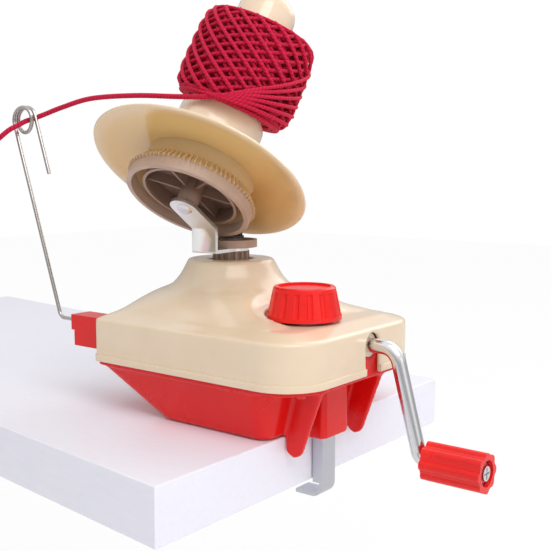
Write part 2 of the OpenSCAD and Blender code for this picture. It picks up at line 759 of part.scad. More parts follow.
// Tube of n sides along a list of points
module tube(pts, r, n) {
  last = len(pts) - 1;
  tang = [for (i = [0:last]) unit(pts[min(i + 1, last)] - pts[max(i - 1, 0)])];
  side = [for (t = tang) unit(cross(t, abs(t[2]) < 0.95 ? [0, 0, 1] : [1, 0, 0]))];
  pos = [for (i = [0:last], k = [0:n - 1])
    let (a = 360 * k / n) pts[i] + r * (cos(a) * side[i] + sin(a) * cross(tang[i], side[i]))];
  walls = [for (i = [0:last - 1], k = [0:n - 1], h = [0, 1])
    let (a = i * n + k, b = i * n + (k + 1) % n)
    h == 0 ? [a, b + n, b] : [a, a + n, b + n]];
  ends = [for (k = [1:n - 2], h = [0, 1])
    h == 0 ? [0, k, k + 1] : [last * n, last * n + k + 1, last * n + k]];
  polyhedron(concat(pos, [[0, 0, 0]]), concat(walls, ends));
}

module yarn_winding() {
  color(crimson) spool_frame() tube(wound, yarn_r, ball_sides);
}

// Smooth route through the given points
function cat(p0, p1, p2, p3, t) = 0.5 * (2 * p1 + (p2 - p0) * t + (2 * p0 - 5 * p1 + 4 * p2 - p3) * t * t
  + (3 * p1 - p0 - 3 * p2 + p3) * t * t * t);
strand_last = len(strand_pts) - 1;
strand_path = concat([for (i = [0:strand_last - 1], k = [0:strand_n - 1])
  cat(strand_pts[max(i - 1, 0)], strand_pts[i], strand_pts[i + 1], strand_pts[min(i + 2, strand_last)], k / strand_n)],
  [strand_pts[strand_last]]);

module yarn_strand() {
  color(crimson) tube(strand_path, yarn_r, strand_sides);
}

// Clamp
module clamp_knob() {
  slope = 0.2;
  top_r = knob_r - slope * knob_h;
  z0 = deck_z + 1.5;
  color(red) translate([bx, by, z0]) difference() {
    union() {
      cylinder(h = 2.2, r = knob_r);
      translate([0, 0, 2.1]) cylinder(h = knob_h - 2.9, r1 = knob_r - 0.3, r2 = top_r + 0.2);
      translate([0, 0, knob_h - 0.82]) cylinder(h = 0.82, r1 = top_r + 0.2, r2 = top_r - 0.6);
    }
    for (i = [0:knob_flutes - 1])
      rotate([0, 0, 360 * i / knob_flutes])
        translate([knob_r + 0.55, 0, 2.4])
          rotate([0, -atan(slope), 0])
            cylinder(h = knob_h - 4.6, r = 1.9);
    translate([0, 0, knob_h - 1.1]) cylinder(h = 3, r = top_r - 2.6);
    translate([0, 0, -1]) cylinder(h = 13, r = bolt_r + eps);
    translate([0, 0, -1]) difference() {
      cylinder(h = knob_h - 3, r = top_r - 2.2);
      cylinder(h = knob_h, r = 7);
    }
  }
}

module clamp_bolt() {
  color(steel) translate([bx, by, 0]) difference() {
    translate([0, 0, 4]) cylinder(h = deck_z + 12 - 4, r = bolt_r);
    ring(bolt_r + 1, bolt_r - 0.5, deck_in - 2.2, deck_in - 1);
  }
}

module knob_washer() {
  color(steel) translate([bx, by, 0]) ring(9, bolt_r + eps, deck_z + 0.3, deck_z + 1.4);
}

module bolt_clip() {
  color(steel) translate([bx, by, 0]) difference() {
    ring(6, bolt_r - 0.5 + eps, deck_in - 2.1, deck_in - 1.1);
    translate([-(bolt_r - 0.5), -7, deck_in - 3]) cube([2 * bolt_r - 1, 7, 4]);
  }
}

module clamp_strap() {
  bend = 7;
  foot_l = 17.5;
  x1 = strap_x + strap_d;
  z0 = -clamp_drop - strap_t;
  color(steel) translate([0, by, 0]) difference() {
    union() {
      translate([x1 - strap_t, -strap_w / 2, z0 + bend]) cube([strap_t, strap_w, flange_z - z0 - bend]);
      translate([x1 - bend, strap_w / 2, z0 + bend]) rotate([90, 0, 0]) rotate([0, 0, -90])
        rotate_extrude(angle = 90) translate([bend - strap_t, 0]) square([strap_t, strap_w]);
      translate([x1 - foot_l, -strap_w / 2, z0]) cube([foot_l - bend, strap_w, strap_t]);
      translate([bx - 7, -strap_w / 2, flange_z]) cube([x1 - bx + 7, strap_w, strap_t]);
      for (s = [-1, 1])
        translate([strap_x, s * (strap_w / 2 - 0.8) - 0.8, z0 + bend + 1]) cube([strap_d - 0.5, 1.6, 50]);
    }
    translate([bx, 0, flange_z - 1]) cylinder(h = 4, r = bolt_r + 0.3);
  }
}

module clamp_nut() {
  color(steel) translate([bx, by, flange_z + strap_t + eps]) difference() {
    cylinder(h = 5, r = 5.77, $fn = 6);
    translate([0, 0, -1]) cylinder(h = 7, r = bolt_r + run);
  }
}

// Guide wire: pivot, leg, three half turns, tail
leg_dir = [-sin(leg_lean), 0, cos(leg_lean)];
leg_side = [cos(leg_lean), 0, sin(leg_lean)];
wire_a = [block_x + 14, gy, gz];
wire_b = [bend_x, gy, gz];
wire_c = wire_b + leg_dir * (leg_top_z - gz) / cos(leg_lean);
half_y = 1.5;

module half_turn(k) {
  odd = k % 2;
  over = odd == 0 ? 1.8 : 0;
  yaw = atan(half_y / (2 * eye_r));
  mid = wire_c + leg_side * eye_r + [0, half_y * (k + 0.5), 0];
  translate(mid)
    rotate([0, -leg_lean, 0])
      rotate([0, 0, odd == 0 ? yaw : -yaw])
        rotate([90, 0, 0])
          rotate([0, 0, 180 * odd - (k == 2 ? 0 : over)])
            rotate_extrude(angle = 180 + over)
              translate([eye_r / cos(yaw), 0]) circle(wire_r + (odd + 1) * eps, $fn = 24);
}

module guide_wire() {
  tail = wire_c + leg_side * 2 * eye_r + [0, half_y * 3, 0];
  color(steel) {
    seg(wire_a, trim(wire_c, wire_b, wire_a, 5), wire_r, $fn = 24);
    arc_xz(wire_a, wire_b, wire_c, 5, wire_r, $fn = 24);
    seg(trim(wire_a, wire_b, wire_c, 5), wire_c + leg_dir * lap, wire_r, $fn = 24);
    half_turn(0);
    half_turn(1);
    half_turn(2);
    seg(tail + leg_dir * lap, tail - leg_dir * tail_l, wire_r, $fn = 24);
  }
}

top_cover();
bottom_tub();
cover_screws();
centre_pin();
thrust_washer();
crank_bush_front();
crank_bush_rear();
guide_block();
guide_block_screws();
crank_rod();
crown_gear();
gear_pin();
crank_clips();
crank_grip();
grip_washer();
grip_screw();
sleeve_pinion();
spindle_arm();
arm_collar();
collar_screws();
spool_axle();
axle_washer();
axle_clip();
drive_tube();
spool_pinion();
spool();
ring_gear();
ring_screws();
spool_cap();
yarn_core();
yarn_winding();
clamp_knob();
clamp_bolt();
knob_washer();
bolt_clip();
clamp_strap();
clamp_nut();
guide_wire();
yarn_strand();
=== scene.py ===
import math

import bmesh
import bpy
from bpy.props import FloatProperty, FloatVectorProperty, IntProperty, PointerProperty
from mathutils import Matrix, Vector


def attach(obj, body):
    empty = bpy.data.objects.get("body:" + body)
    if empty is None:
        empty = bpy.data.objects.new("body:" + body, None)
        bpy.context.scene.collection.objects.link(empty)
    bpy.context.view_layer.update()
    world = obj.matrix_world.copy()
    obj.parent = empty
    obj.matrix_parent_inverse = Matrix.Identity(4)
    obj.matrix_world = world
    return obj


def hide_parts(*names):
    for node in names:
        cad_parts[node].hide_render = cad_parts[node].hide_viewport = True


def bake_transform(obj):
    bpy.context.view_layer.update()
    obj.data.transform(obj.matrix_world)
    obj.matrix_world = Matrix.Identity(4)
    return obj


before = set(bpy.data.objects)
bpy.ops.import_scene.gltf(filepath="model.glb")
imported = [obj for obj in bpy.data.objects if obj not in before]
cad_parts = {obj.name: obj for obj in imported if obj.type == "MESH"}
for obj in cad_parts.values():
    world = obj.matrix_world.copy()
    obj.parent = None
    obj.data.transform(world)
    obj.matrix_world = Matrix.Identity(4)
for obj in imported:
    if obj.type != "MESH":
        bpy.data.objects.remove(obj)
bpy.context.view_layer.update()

bl_info = {
    "name": "Yarn Ball Winder",
    "version": (1, 0, 0),
    "blender": (4, 5, 0),
    "location": "3D View > Sidebar > Winder",
    "description": "Dresses the solids of a table-clamp yarn ball winder",
    "category": "Object",
}


def tone(red, green, blue):
    """A colour as an eye reads it, 0 to 255, turned into scene values."""
    parts = [c / 255 for c in (red, green, blue)]
    return tuple(p / 12.92 if p <= 0.04045 else ((p + 0.055) / 1.055) ** 2.4 for p in parts)


def colour(label, words, value):
    return FloatVectorProperty(
        name=label, description=words, subtype="COLOR", size=3, min=0.0, max=1.0, default=value)


class WinderColours(bpy.types.PropertyGroup):
    """Colours of the mouldings, metals and yarn"""

    cream: colour("Cream", "Cover, cap and bushes", tone(236, 215, 188))
    cream_deep: colour("Deep cream", "Cloudy places in the cream moulding", tone(232, 210, 181))
    # Painted warm light and shade under the dish, not a colour of the plastic
    amber: colour("Amber", "Underside of the dish, where light comes through", tone(230, 192, 126))
    red: colour("Red", "Tub and guide block", tone(228, 20, 18))
    red_deep: colour("Deep red", "Cloudy places in the red moulding", tone(222, 17, 16))
    knob_red: colour("Knob red", "Clamp knob and crank grip", tone(248, 24, 14))
    taupe: colour("Taupe", "Gears and collar", tone(192, 164, 146))
    taupe_deep: colour("Deep taupe", "Cloudy places in the gears", tone(180, 151, 132))
    taupe_inside: colour("Inside taupe", "Hollow of the ring gear", tone(122, 94, 78))
    # Painted shade in the hollow of the ring gear
    black: colour("Black", "Small pinion under the dish", tone(46, 42, 40))
    steel: colour("Steel", "Plated rod, strap and fasteners", tone(228, 228, 231))
    plate: colour("Plate", "Bright plated arm", tone(252, 252, 251))
    strap: colour("Strap", "Grey plated clamp strap", tone(206, 206, 213))
    wire: colour("Wire", "Drawn guide wire", tone(186, 180, 176))
    yarn: colour("Yarn", "Lit side of the yarn", tone(212, 30, 70))
    # Painted shade in the grooves between the plies
    yarn_shade: colour("Yarn shade", "Grooves between the plies", tone(142, 10, 36))
    # Painted light: the teeth are paler where light comes through the dish
    tooth: colour("Tooth", "Teeth of the ring gear, lit through the dish", tone(214, 184, 138))
    board: colour("Board", "Table board", tone(243, 242, 252))


class YarnSizes(bpy.types.PropertyGroup):
    """Sizes of the yarn and its ball"""

    radius: FloatProperty(
        name="Yarn radius", description="Half the thickness of the yarn", default=0.0015,
        min=0.001, max=0.002, precision=4, unit="LENGTH")
    wound: FloatProperty(
        name="Wound radius", description="Half the thickness of the yarn where it is drawn tight on the ball",
        default=0.00108, min=0.0008, max=0.0015, precision=5, unit="LENGTH")
    ball_radius: FloatProperty(
        name="Ball radius", description="Outside of the wound ball", default=0.03625,
        min=0.034, max=0.037, precision=4, unit="LENGTH")
    ball_middle: FloatProperty(
        name="Ball middle", description="Middle of the ball along the spool axis", default=0.0955,
        min=0.09, max=0.1, precision=4, unit="LENGTH")
    ball_half: FloatProperty(
        name="Half height", description="Half the height of the ball along the spool axis", default=0.0295,
        min=0.026, max=0.032, precision=4, unit="LENGTH")
    slant: FloatProperty(
        name="Slant", description="How far the ball's ends lean across the axis",
        default=0.45, min=0.0, max=0.6)
    loops: IntProperty(
        name="Turns", description="Turns round the axis in one layer", default=12, min=8, max=24)
    waves: IntProperty(
        name="Passes", description="Passes up and down in one layer", default=17, min=8, max=24)
    cross_loops: IntProperty(
        name="Crossing turns", description="Turns round the axis in a crossing layer",
        default=19, min=8, max=40)
    cross_waves: IntProperty(
        name="Crossing passes", description="Passes up and down in a crossing layer",
        default=17, min=8, max=24)
    wraps: IntProperty(
        name="Last turns", description="Turns that fan out from the low end of the ball",
        default=6, min=1, max=8)
    sides: IntProperty(
        name="Sides", description="Sides of the yarn's round", default=10, min=6, max=16)
    twist: FloatProperty(
        name="Twist", description="Turn of the plies along the yarn, in radians for each metre",
        default=1300.0, min=200.0, max=2500.0)


class StageSizes(bpy.types.PropertyGroup):
    """Camera, board and lamps"""

    lens: FloatProperty(
        name="Lens", description="Focal length of the camera in millimetres",
        default=59.234, min=20.0, max=200.0)
    board_thick: FloatProperty(
        name="Board thickness", description="Thickness of the table board", default=0.029,
        min=0.015, max=0.036, unit="LENGTH")
    floor_drop: FloatProperty(
        name="Floor drop", description="Height of the table board over the floor", default=0.16,
        min=0.06, max=0.9, unit="LENGTH")
    key: FloatProperty(
        name="Key lamp", description="Power of the large lamp over the right front", default=8.6, min=0.0,
        max=60.0, unit="POWER")
    fill: FloatProperty(
        name="Fill lamp", description="Power of the low lamp at the right", default=0.45, min=0.0,
        max=60.0, unit="POWER")
    rim: FloatProperty(
        name="Back lamp", description="Power of the lamp behind", default=4.5, min=0.0,
        max=60.0, unit="POWER")
    sky: FloatProperty(
        name="Room light", description="Even light from all sides", default=0.60, min=0.0, max=2.0)


# Corners of a solid that lie nearer than this are one corner
MERGE = 0.000002

# Faces that meet at more than this keep a hard edge
EDGE_ANGLE = math.radians(32)

# Spool axis: a point on it, its direction, and the two directions across it
AXIS_FOOT = Vector((-0.024183, -0.032281, 0.118132))
AXIS = Vector((-0.0400107, 0.5721792, 0.819152)).normalized()
ACROSS_A = Vector((-0.0571, 0.8172, -0.5736)).normalized()
ACROSS_B = Vector((-0.9976, -0.0698, 0.0)).normalized()

# Where painted light and shade lie on the spool, as ends of soft steps in height along its axis and in reach
# from it:
# painted light on the teeth of the ring gear, painted shade in its hollow, and painted warm light and shade
# under the dish
TOOTH_LIGHT_HEIGHT, TOOTH_LIGHT_REACH = (0.0061, 0.0069), (0.0265, 0.0270)
HOLLOW_SHADE_HEIGHT, HOLLOW_SHADE_REACH = (0.0004, 0.006), (0.0328, 0.0318)
DISH_WARMTH_HEIGHT, DISH_WARMTH_REACH = (0.03, 0.026), (0.0625, 0.054)

# Yarn ball: the turn that its ends lean towards, how far it sits off the axis and towards which turn
SLANT_TURN = math.radians(44)
SHIFT, SHIFT_TURN = 0.0015, math.radians(314)
BALL_SHIFT = (SHIFT * math.cos(SHIFT_TURN), SHIFT * math.sin(SHIFT_TURN))

# Layers of the ball: half the depth of a crossing, how far the ends draw in, how sharply the yarn
# turns back at an end, the step from layer to layer, the start of the crossing layer in radians,
# the points of a pass, and the heights of the lower layers as shares of the ball's
LAY, DRAWN_IN, TURN_BACK = 0.00265, 0.0026, 0.999
LAYER_STEP, CROSS_TURN = 0.0018, 0.3
PASS_POINTS, CROSS_POINTS = 48, 72
CROSS_SHARE, UNDER_SHARE = 0.97, 0.96

# Rings over the ends of the ball: their inner reach, the bare rim outside them, the yarn's step
# in wound radii, the points of a ring, and their heights as shares of the ball's
END_REACH, LOW_END_REACH, END_RIM = 0.0202, 0.0262, 0.0045
END_STEP, END_POINTS = 1.9, 60
END_SHARE, LOW_END_SHARE = 0.975, 1.045

# Bed under the layers: its inner reach, its depth under the ball's outside, how far its ends draw in,
# its steps along the axis and round it, and its height as a share of the ball's
BED_INNER, BED_DEPTH, BED_DRAWN_IN = 0.0194, 0.0058, 0.0050
BED_STEPS, BED_SIDES, BED_SHARE = 20, 96, 0.96

# Last turns of the ball: where they start and end round it in degrees, the step from one start to the
# next, the height they start at, the rise of the highest, how fast the others fall behind it,
# and the points of a turn
FAN_START, FAN_END, FAN_STEP = -150, -46, 2.3
FAN_LOW, FAN_RISE, FAN_FALL, FAN_POINTS = -0.0310, 0.050, 1.2, 48

# How far the last turns stand proud, and where and how they bend in at the low end and dive at the last
FAN_PROUD = 0.0010
BEND_FROM, BEND = 0.018, 22.0
DIVE_FROM, DIVE = 0.78, 0.008

# Housing: plan outline, lip of the cover, slot for the crank, and axes of the neck and the clamp knob
HALF_LONG, HALF_WIDE = 0.073, 0.061
FRONT_ROUND, BACK_ROUND, CORNER_STEPS = 0.026, 0.005, 16
LIP_LOW, LIP_HIGH, LIP_DEEP, LIP_STEP = 0.02805, 0.0318, 0.0018, 0.0007
SLOT_MIDDLE, SLOT_HALF = 0.008, 0.0070
NECK = Vector((-0.027, 0.008))
KNOB = Vector((0.0385, -0.008))

# Hill under the neck: how much it is raised, how many rounds smooth it, the least weight that counts,
# and the ends of soft steps: round the knob, over the deck, and out from the neck for lift and smoothing
HILL_LIFT, HILL_ROUNDS, LEAST_WEIGHT = 0.0046, 60, 0.001
KNOB_ROOM, HILL_FOOT = (0.0235, 0.031), (0.0545, 0.0580)
LIFT_IN, LIFT_OUT = (0.0285, 0.038), (0.040, 0.072)
SMOOTH_IN, SMOOTH_OUT = (0.0258, 0.029), (0.066, 0.080)

# Faces of the cover that look up by more than this are raised, and its wall is set back under this height
UPWARD, WALL_TOP = 0.05, 0.036

# Slanted end of the tub: where it starts under the cover, its run for each unit of drop in the solid,
# how far back its foot stands from the solid's, and the soft step past the wall that moves with it
TUB_RIM, TUB_END, TUB_SLOPE, TUB_BACK = 0.0254, -0.068, 2.607, 0.022
TUB_WALL = (0.0034, 0.0060)

# Sides of the tub: half width under the cover and its loss for each unit of drop,
# the lengthwise place where they curve into the front, and the round of the back corners
TUB_WIDE, TUB_TAPER, TUB_FRONT, TUB_ROUND = 0.058, 0.2137, 0.040, 0.0056

# Drops under the rim between which the tub's faces are trued up, and the distances where the pull fades
TRUE_FROM, TRUE_TO = 0.0004, TUB_RIM - 0.003
TRUE_NEAR = (0.0006, 0.0010)

# Size of the faces of the mouldings' skins, and the rounds that soften their edges
SKIN_STEP, COVER_ROUNDS, TUB_ROUNDS = 0.0010, 8, 5

# Route of the free yarn from the ball through the guide eye, in millimetres, and its point in the eye
STRAND_ROUTE = [
    (-4, -23.5, 175.5), (-14, -25.8, 175.6), (-35, -27.4, 176.6), (-66, -30.2, 178.5),
    (-100, -33.5, 178.2), (-124, -36, 173.8), (-136, -39.5, 170), (-141.5, -44, 167.3),
    (-143, -49, 165.5), (-143.5, -54, 163), (-147, -59, 159.5), (-156, -64, 151.5)]

# Steps of the yarn from one point of its route to the next
STRAND_STEPS = 7

# Knot at the end of the yarn: how far past the end its middle lies, its size, its depth and its points
KNOT_PAST, KNOT_SIZE, KNOT_DEPTH, KNOT_POINTS = 0.0022, 0.00125, 1.2, 48

# Camera: its place, what it looks at, its sensor in millimetres and its near and far limits
CAMERA_PLACE = (0.32215, -0.39867, 0.13731)
CAMERA_AIM = (0.00784, 0.00609, 0.07642)
SENSOR, CAMERA_NEAR, CAMERA_FAR = 36.0, 0.01, 20.0

# Table board: corners in plan, the gap under the tub, and the width of its eased edges
BOARD_CORNERS = [(0.0478, -0.131), (0.0478, 0.126), (-0.50, 0.190), (-0.50, -0.066)]
BOARD_GAP, BOARD_EASE = 0.0002, 0.0006

# Half width of the floor
FLOOR_REACH = 3.0


# Small helpers

def winder_colours():
    return bpy.context.scene.winder_colours


def winder_yarn():
    return bpy.context.scene.winder_yarn


def winder_stage():
    return bpy.context.scene.winder_stage


def rgba(value):
    return (value[0], value[1], value[2], 1.0)


def show(obj):
    bpy.context.scene.collection.objects.link(obj)
    return obj


def aim_at(obj, place, target):
    """Put a camera or lamp at a place and turn it to a target."""
    obj.location = place
    way = Vector(target) - obj.location
    obj.rotation_euler = way.to_track_quat("-Z", "Y").to_euler()


def line_piece(name, runs):
    """A mesh of open lines, one for each run of points."""
    mesh = bpy.data.meshes.new(name)
    points, edges = [], []
    for run in runs:
        start = len(points)
        points += [tuple(p) for p in run]
        edges += [(i, i + 1) for i in range(start, len(points) - 1)]
    mesh.from_pydata(points, edges, [])
    return show(bpy.data.objects.new(name, mesh))


def settle(obj):
    """Turn what the modifiers make into a plain mesh."""
    graph = bpy.context.evaluated_depsgraph_get()
    mesh = bpy.data.meshes.new_from_object(
        obj.evaluated_get(graph), preserve_all_data_layers=True, depsgraph=graph)
    old = obj.data
    obj.modifiers.clear()
    obj.data = mesh
    mesh.name = obj.name
    bpy.data.meshes.remove(old)
    if not mesh.polygons:
        raise RuntimeError(f"{obj.name} came out empty")


def run_nodes(obj, tree, values):
    """Put a geometry node tree on an object with its inputs set by name."""
    modifier = obj.modifiers.new(tree.name, "NODES")
    modifier.node_group = tree
    for item in tree.interface.items_tree:
        if item.item_type == "SOCKET" and item.in_out == "INPUT" and item.name in values:
            modifier[item.identifier] = values[item.name]


def new_group(name, kind, inputs, outputs):
    """A node tree with named inputs and outputs, and its two end nodes."""
    tree = bpy.data.node_groups.new(name, kind)
    for label, sort, value in inputs:
        socket = tree.interface.new_socket(label, in_out="INPUT", socket_type="NodeSocket" + sort)
        if value is not None:
            socket.default_value = value
    for label, sort in outputs:
        tree.interface.new_socket(label, in_out="OUTPUT", socket_type="NodeSocket" + sort)
    return tree, tree.nodes.new("NodeGroupInput"), tree.nodes.new("NodeGroupOutput")


def built_once(build):
    """Build a node tree under its function's name, and find it by that name from then on."""
    def find():
        return bpy.data.node_groups.get(build.__name__) or build(build.__name__)
    return find


class Wiring:
    """Adds nodes to a tree and links them; a value or a socket goes into any input."""

    def __init__(self, tree):
        self.tree = tree

    def put(self, socket, value):
        if isinstance(value, bpy.types.NodeSocket):
            self.tree.links.new(value, socket)
        else:
            socket.default_value = value

    def fill(self, node, values):
        for key, value in values.items():
            self.put(node.inputs[key], value)
        return node

    def node(self, kind, values=None, **settings):
        node = self.tree.nodes.new(kind)
        for key, value in settings.items():
            setattr(node, key, value)
        return self.fill(node, values or {})

    def step(self, kind, values, **settings):
        """One step of a geometry tree, as its first output."""
        return self.node("GeometryNode" + kind, values, **settings).outputs[0]

    def math(self, operation, a, b=None):
        values = {0: a}
        if b is not None:
            values[1] = b
        return self.node("ShaderNodeMath", values, operation=operation).outputs[0]

    def ramp(self, value, low, high, to_low=0.0, to_high=1.0):
        node = self.node("ShaderNodeMapRange", {0: value, 1: low, 2: high, 3: to_low, 4: to_high})
        return node.outputs[0]

    def noise(self, vector, scale, detail=2.0, rough=0.5):
        node = self.node("ShaderNodeTexNoise", {
            "Vector": vector, "Scale": scale, "Detail": detail, "Roughness": rough})
        return node.outputs[0]

    def mix(self, factor, first, second):
        node = self.node("ShaderNodeMix", {0: factor, 6: first, 7: second}, data_type="RGBA")
        return node.outputs[2]

    def stretch(self, vector, by):
        return self.vector("MULTIPLY", {0: vector, 1: by})

    def vector(self, operation, values, output=0):
        return self.node("ShaderNodeVectorMath", values, operation=operation).outputs[output]

    def round_axis(self, point):
        """Height of a point along the spool axis, and its reach from the axis."""
        from_foot = self.vector("SUBTRACT", {0: point, 1: tuple(AXIS_FOOT)})
        height = self.vector("DOT_PRODUCT", {0: from_foot, 1: tuple(AXIS)}, "Value")
        along = self.vector("SCALE", {0: tuple(AXIS), "Scale": height})
        out = self.vector("SUBTRACT", {0: from_foot, 1: along})
        return height, self.vector("LENGTH", {0: out}, "Value")


# Effects that several finishes share

# What every effect puts out
SURFACE = [("Colour", "Color"), ("Roughness", "Float"), ("Height", "Float")]


@built_once
def moulded_skin(name):
    """Cloudy colour, fine moulding grain and faint rub marks of injection-moulded plastic."""
    tree, first, last = new_group(name, "ShaderNodeTree", [
        ("Point", "Vector", None), ("Colour", "Color", (0.8, 0.8, 0.8, 1)),
        ("Deep", "Color", (0.7, 0.7, 0.7, 1)), ("Cloud", "Float", 42.0),
        ("Grain", "Float", 1500.0), ("Gloss", "Float", 0.25), ("Rub", "Float", 0.2)], SURFACE)
    w = Wiring(tree)
    get = first.outputs
    cloud = w.noise(get["Point"], get["Cloud"], 3.0)
    grain = w.noise(get["Point"], get["Grain"], 2.0)
    streak = w.noise(w.stretch(get["Point"], (1.0, 2.2, 5.0)), 130.0, 4.0, 0.6)
    rub = w.math("MULTIPLY", w.ramp(streak, 0.62, 0.8), get["Rub"])
    body = w.mix(w.ramp(cloud, 0.32, 0.7), get["Colour"], get["Deep"])
    pale = w.mix(w.math("MULTIPLY", rub, 0.22), body, (1.0, 0.97, 0.93, 1.0))
    dull = w.math("ADD", w.math("MULTIPLY", rub, 0.25), w.ramp(cloud, 0.3, 0.7, -0.03, 0.04))
    w.fill(last, {
        "Colour": pale, "Roughness": w.math("ADD", get["Gloss"], dull),
        "Height": w.math("ADD", grain, w.math("MULTIPLY", cloud, 0.8))})
    return tree


@built_once
def drawn_metal(name):
    """Fine draw lines, dull spots and small scratches of plated or drawn metal."""
    tree, first, last = new_group(name, "ShaderNodeTree", [
        ("Point", "Vector", None), ("Colour", "Color", (0.7, 0.7, 0.7, 1)),
        ("Lines", "Vector", (40.0, 900.0, 900.0)), ("Gloss", "Float", 0.2),
        ("Tarnish", "Float", 0.3)], SURFACE)
    w = Wiring(tree)
    get = first.outputs
    lines = w.noise(w.stretch(get["Point"], get["Lines"]), 1.0, 3.0, 0.6)
    spots = w.ramp(w.noise(get["Point"], 90.0, 3.0, 0.55), 0.5, 0.8)
    dim = w.math("MULTIPLY", spots, get["Tarnish"])
    shade = w.mix(dim, get["Colour"], (0.22, 0.20, 0.18, 1.0))
    lined = w.mix(w.ramp(lines, 0.35, 0.7, 0.0, 0.06), shade, (0.40, 0.40, 0.41, 1.0))
    rough = w.math("ADD", w.ramp(lines, 0.3, 0.7, -0.02, 0.04), w.math("MULTIPLY", dim, 0.3))
    w.fill(last, {"Colour": lined, "Roughness": w.math("ADD", get["Gloss"], rough), "Height": lines})
    return tree


@built_once
def ply_twist(name):
    """Twisted plies with painted shade in their grooves and painted highlights on the loose fibres on them.
    """
    tree, first, last = new_group(name, "ShaderNodeTree", [
        ("Run", "Float", 0.0), ("Round", "Vector", None), ("Twist", "Float", 900.0),
        ("Colour", "Color", (0.5, 0.02, 0.06, 1)), ("Shade", "Color", (0.15, 0.0, 0.01, 1))], SURFACE)
    w = Wiring(tree)
    get = first.outputs
    parts = w.node("ShaderNodeSeparateXYZ", {0: get["Round"]})
    turn = w.math("ARCTAN2", parts.outputs[1], parts.outputs[0])
    lie = w.math("ADD", turn, w.math("MULTIPLY", get["Run"], get["Twist"]))
    ply = w.math("ABSOLUTE", w.math("COSINE", lie))
    fibre_at = w.node("ShaderNodeCombineXYZ", {
        0: w.math("MULTIPLY", w.math("COSINE", lie), 3.2), 1: w.math("MULTIPLY", w.math("SINE", lie), 3.2),
        2: w.math("MULTIPLY", get["Run"], 260.0)}).outputs[0]
    fibre = w.noise(fibre_at, 2.0, 5.0, 0.6)
    patch = w.noise(fibre_at, 0.12, 2.0)
    # Painted light and shade: the yarn is lighter on the ridges of the plies and darker in the grooves
    # between them
    lit = w.math("ADD", ply, w.ramp(fibre, 0.3, 0.7, -0.2, 0.35))
    body = w.mix(w.ramp(lit, 0.0, 0.6), get["Shade"], get["Colour"])
    # Painted highlight: paler flecks where the loose fibres catch the light
    pale = w.mix(w.ramp(fibre, 0.56, 0.8, 0.0, 0.22), body, (0.78, 0.10, 0.20, 1.0))
    w.fill(last, {
        "Colour": w.mix(w.ramp(patch, 0.4, 0.75, 0.0, 0.2), pale, get["Shade"]),
        "Roughness": w.ramp(fibre, 0.3, 0.7, 0.62, 0.9),
        "Height": w.math("ADD", ply, w.math("MULTIPLY", fibre, 0.55))})
    return tree


# Finishes

def blank_finish(name):
    finish = bpy.data.materials.new(name)
    finish.use_nodes = True
    shader = finish.node_tree.nodes["Principled BSDF"]
    return finish, Wiring(finish.node_tree), shader


def bump(w, shader, height, strength, distance):
    node = w.node("ShaderNodeBump", {"Strength": strength, "Distance": distance, "Height": height})
    w.put(shader.inputs["Normal"], node.outputs[0])


def moulding(name, body, deep, gloss, rub, coat, dent, cloud=42.0, shine=0.5):
    if name in bpy.data.materials:
        return bpy.data.materials[name]
    finish, w, shader = blank_finish(name)
    point = w.node("ShaderNodeTexCoord").outputs["Object"]
    skin = w.node("ShaderNodeGroup", {
        "Point": point, "Colour": rgba(body), "Deep": rgba(deep), "Cloud": cloud,
        "Gloss": gloss, "Rub": rub}, node_tree=moulded_skin())
    w.fill(shader, {
        "Base Color": skin.outputs["Colour"], "Roughness": skin.outputs["Roughness"], "IOR": 1.5,
        "Specular IOR Level": shine, "Coat Weight": coat, "Coat Roughness": 0.06})
    bump(w, shader, skin.outputs["Height"], strength=dent, distance=0.0002)
    finish.diffuse_color = rgba(body)
    return finish


def cream_finish():
    c = winder_colours()
    return moulding("cream_moulding", c.cream, c.cream_deep, gloss=0.22, rub=0.03, coat=0.25, dent=0.02)


def red_finish():
    c = winder_colours()
    return moulding("red_moulding", c.red, c.red_deep,
                    gloss=0.28, rub=0.03, coat=0.0, dent=0.03, shine=0.4)


def knob_finish():
    c = winder_colours()
    return moulding("knob_red_moulding", c.knob_red, c.red,
                    gloss=0.26, rub=0.04, coat=0.0, dent=0.03, shine=0.45)


def taupe_finish():
    c = winder_colours()
    return moulding("taupe_gear_moulding", c.taupe, c.taupe_deep,
                    gloss=0.36, rub=0.06, coat=0.05, cloud=70.0, dent=0.05)


def black_finish():
    c = winder_colours()
    return moulding("black_gear_moulding", c.black, tone(58, 52, 48),
                    gloss=0.36, rub=0.08, coat=0.05, cloud=90.0, dent=0.06)


def dish_finish():
    """Cream of the spool, with painted warm light and shade under the dish, where light comes through the
    thin wall.
    """
    name = "cream_dish_moulding"
    if name in bpy.data.materials:
        return bpy.data.materials[name]
    c = winder_colours()
    finish, w, shader = blank_finish(name)
    spot = w.node("ShaderNodeTexCoord")
    point = spot.outputs["Object"]
    skin = w.node("ShaderNodeGroup", {
        "Point": point, "Colour": rgba(c.cream), "Deep": rgba(c.cream_deep), "Cloud": 42.0,
        "Gloss": 0.16, "Rub": 0.02}, node_tree=moulded_skin())
    height, reach = w.round_axis(point)
    facing = w.vector("DOT_PRODUCT", {0: spot.outputs["Normal"], 1: tuple(AXIS)}, "Value")
    # Painted warm light and shade: faces that look down the spool axis, low on it, turn amber, less so near
    # the rim
    under = w.math("MULTIPLY", w.ramp(facing, -0.2, -0.7), w.ramp(height, *DISH_WARMTH_HEIGHT))
    painted_warmth = w.math("MULTIPLY", under, w.ramp(reach, *DISH_WARMTH_REACH, 0.35, 1.0))
    w.fill(shader, {
        "Base Color": w.mix(painted_warmth, skin.outputs["Colour"], rgba(c.amber)),
        "Roughness": skin.outputs["Roughness"], "IOR": 1.5, "Coat Weight": 0.4, "Coat Roughness": 0.03})
    bump(w, shader, skin.outputs["Height"], strength=0.015, distance=0.0002)
    finish.diffuse_color = rgba(c.cream)
    return finish


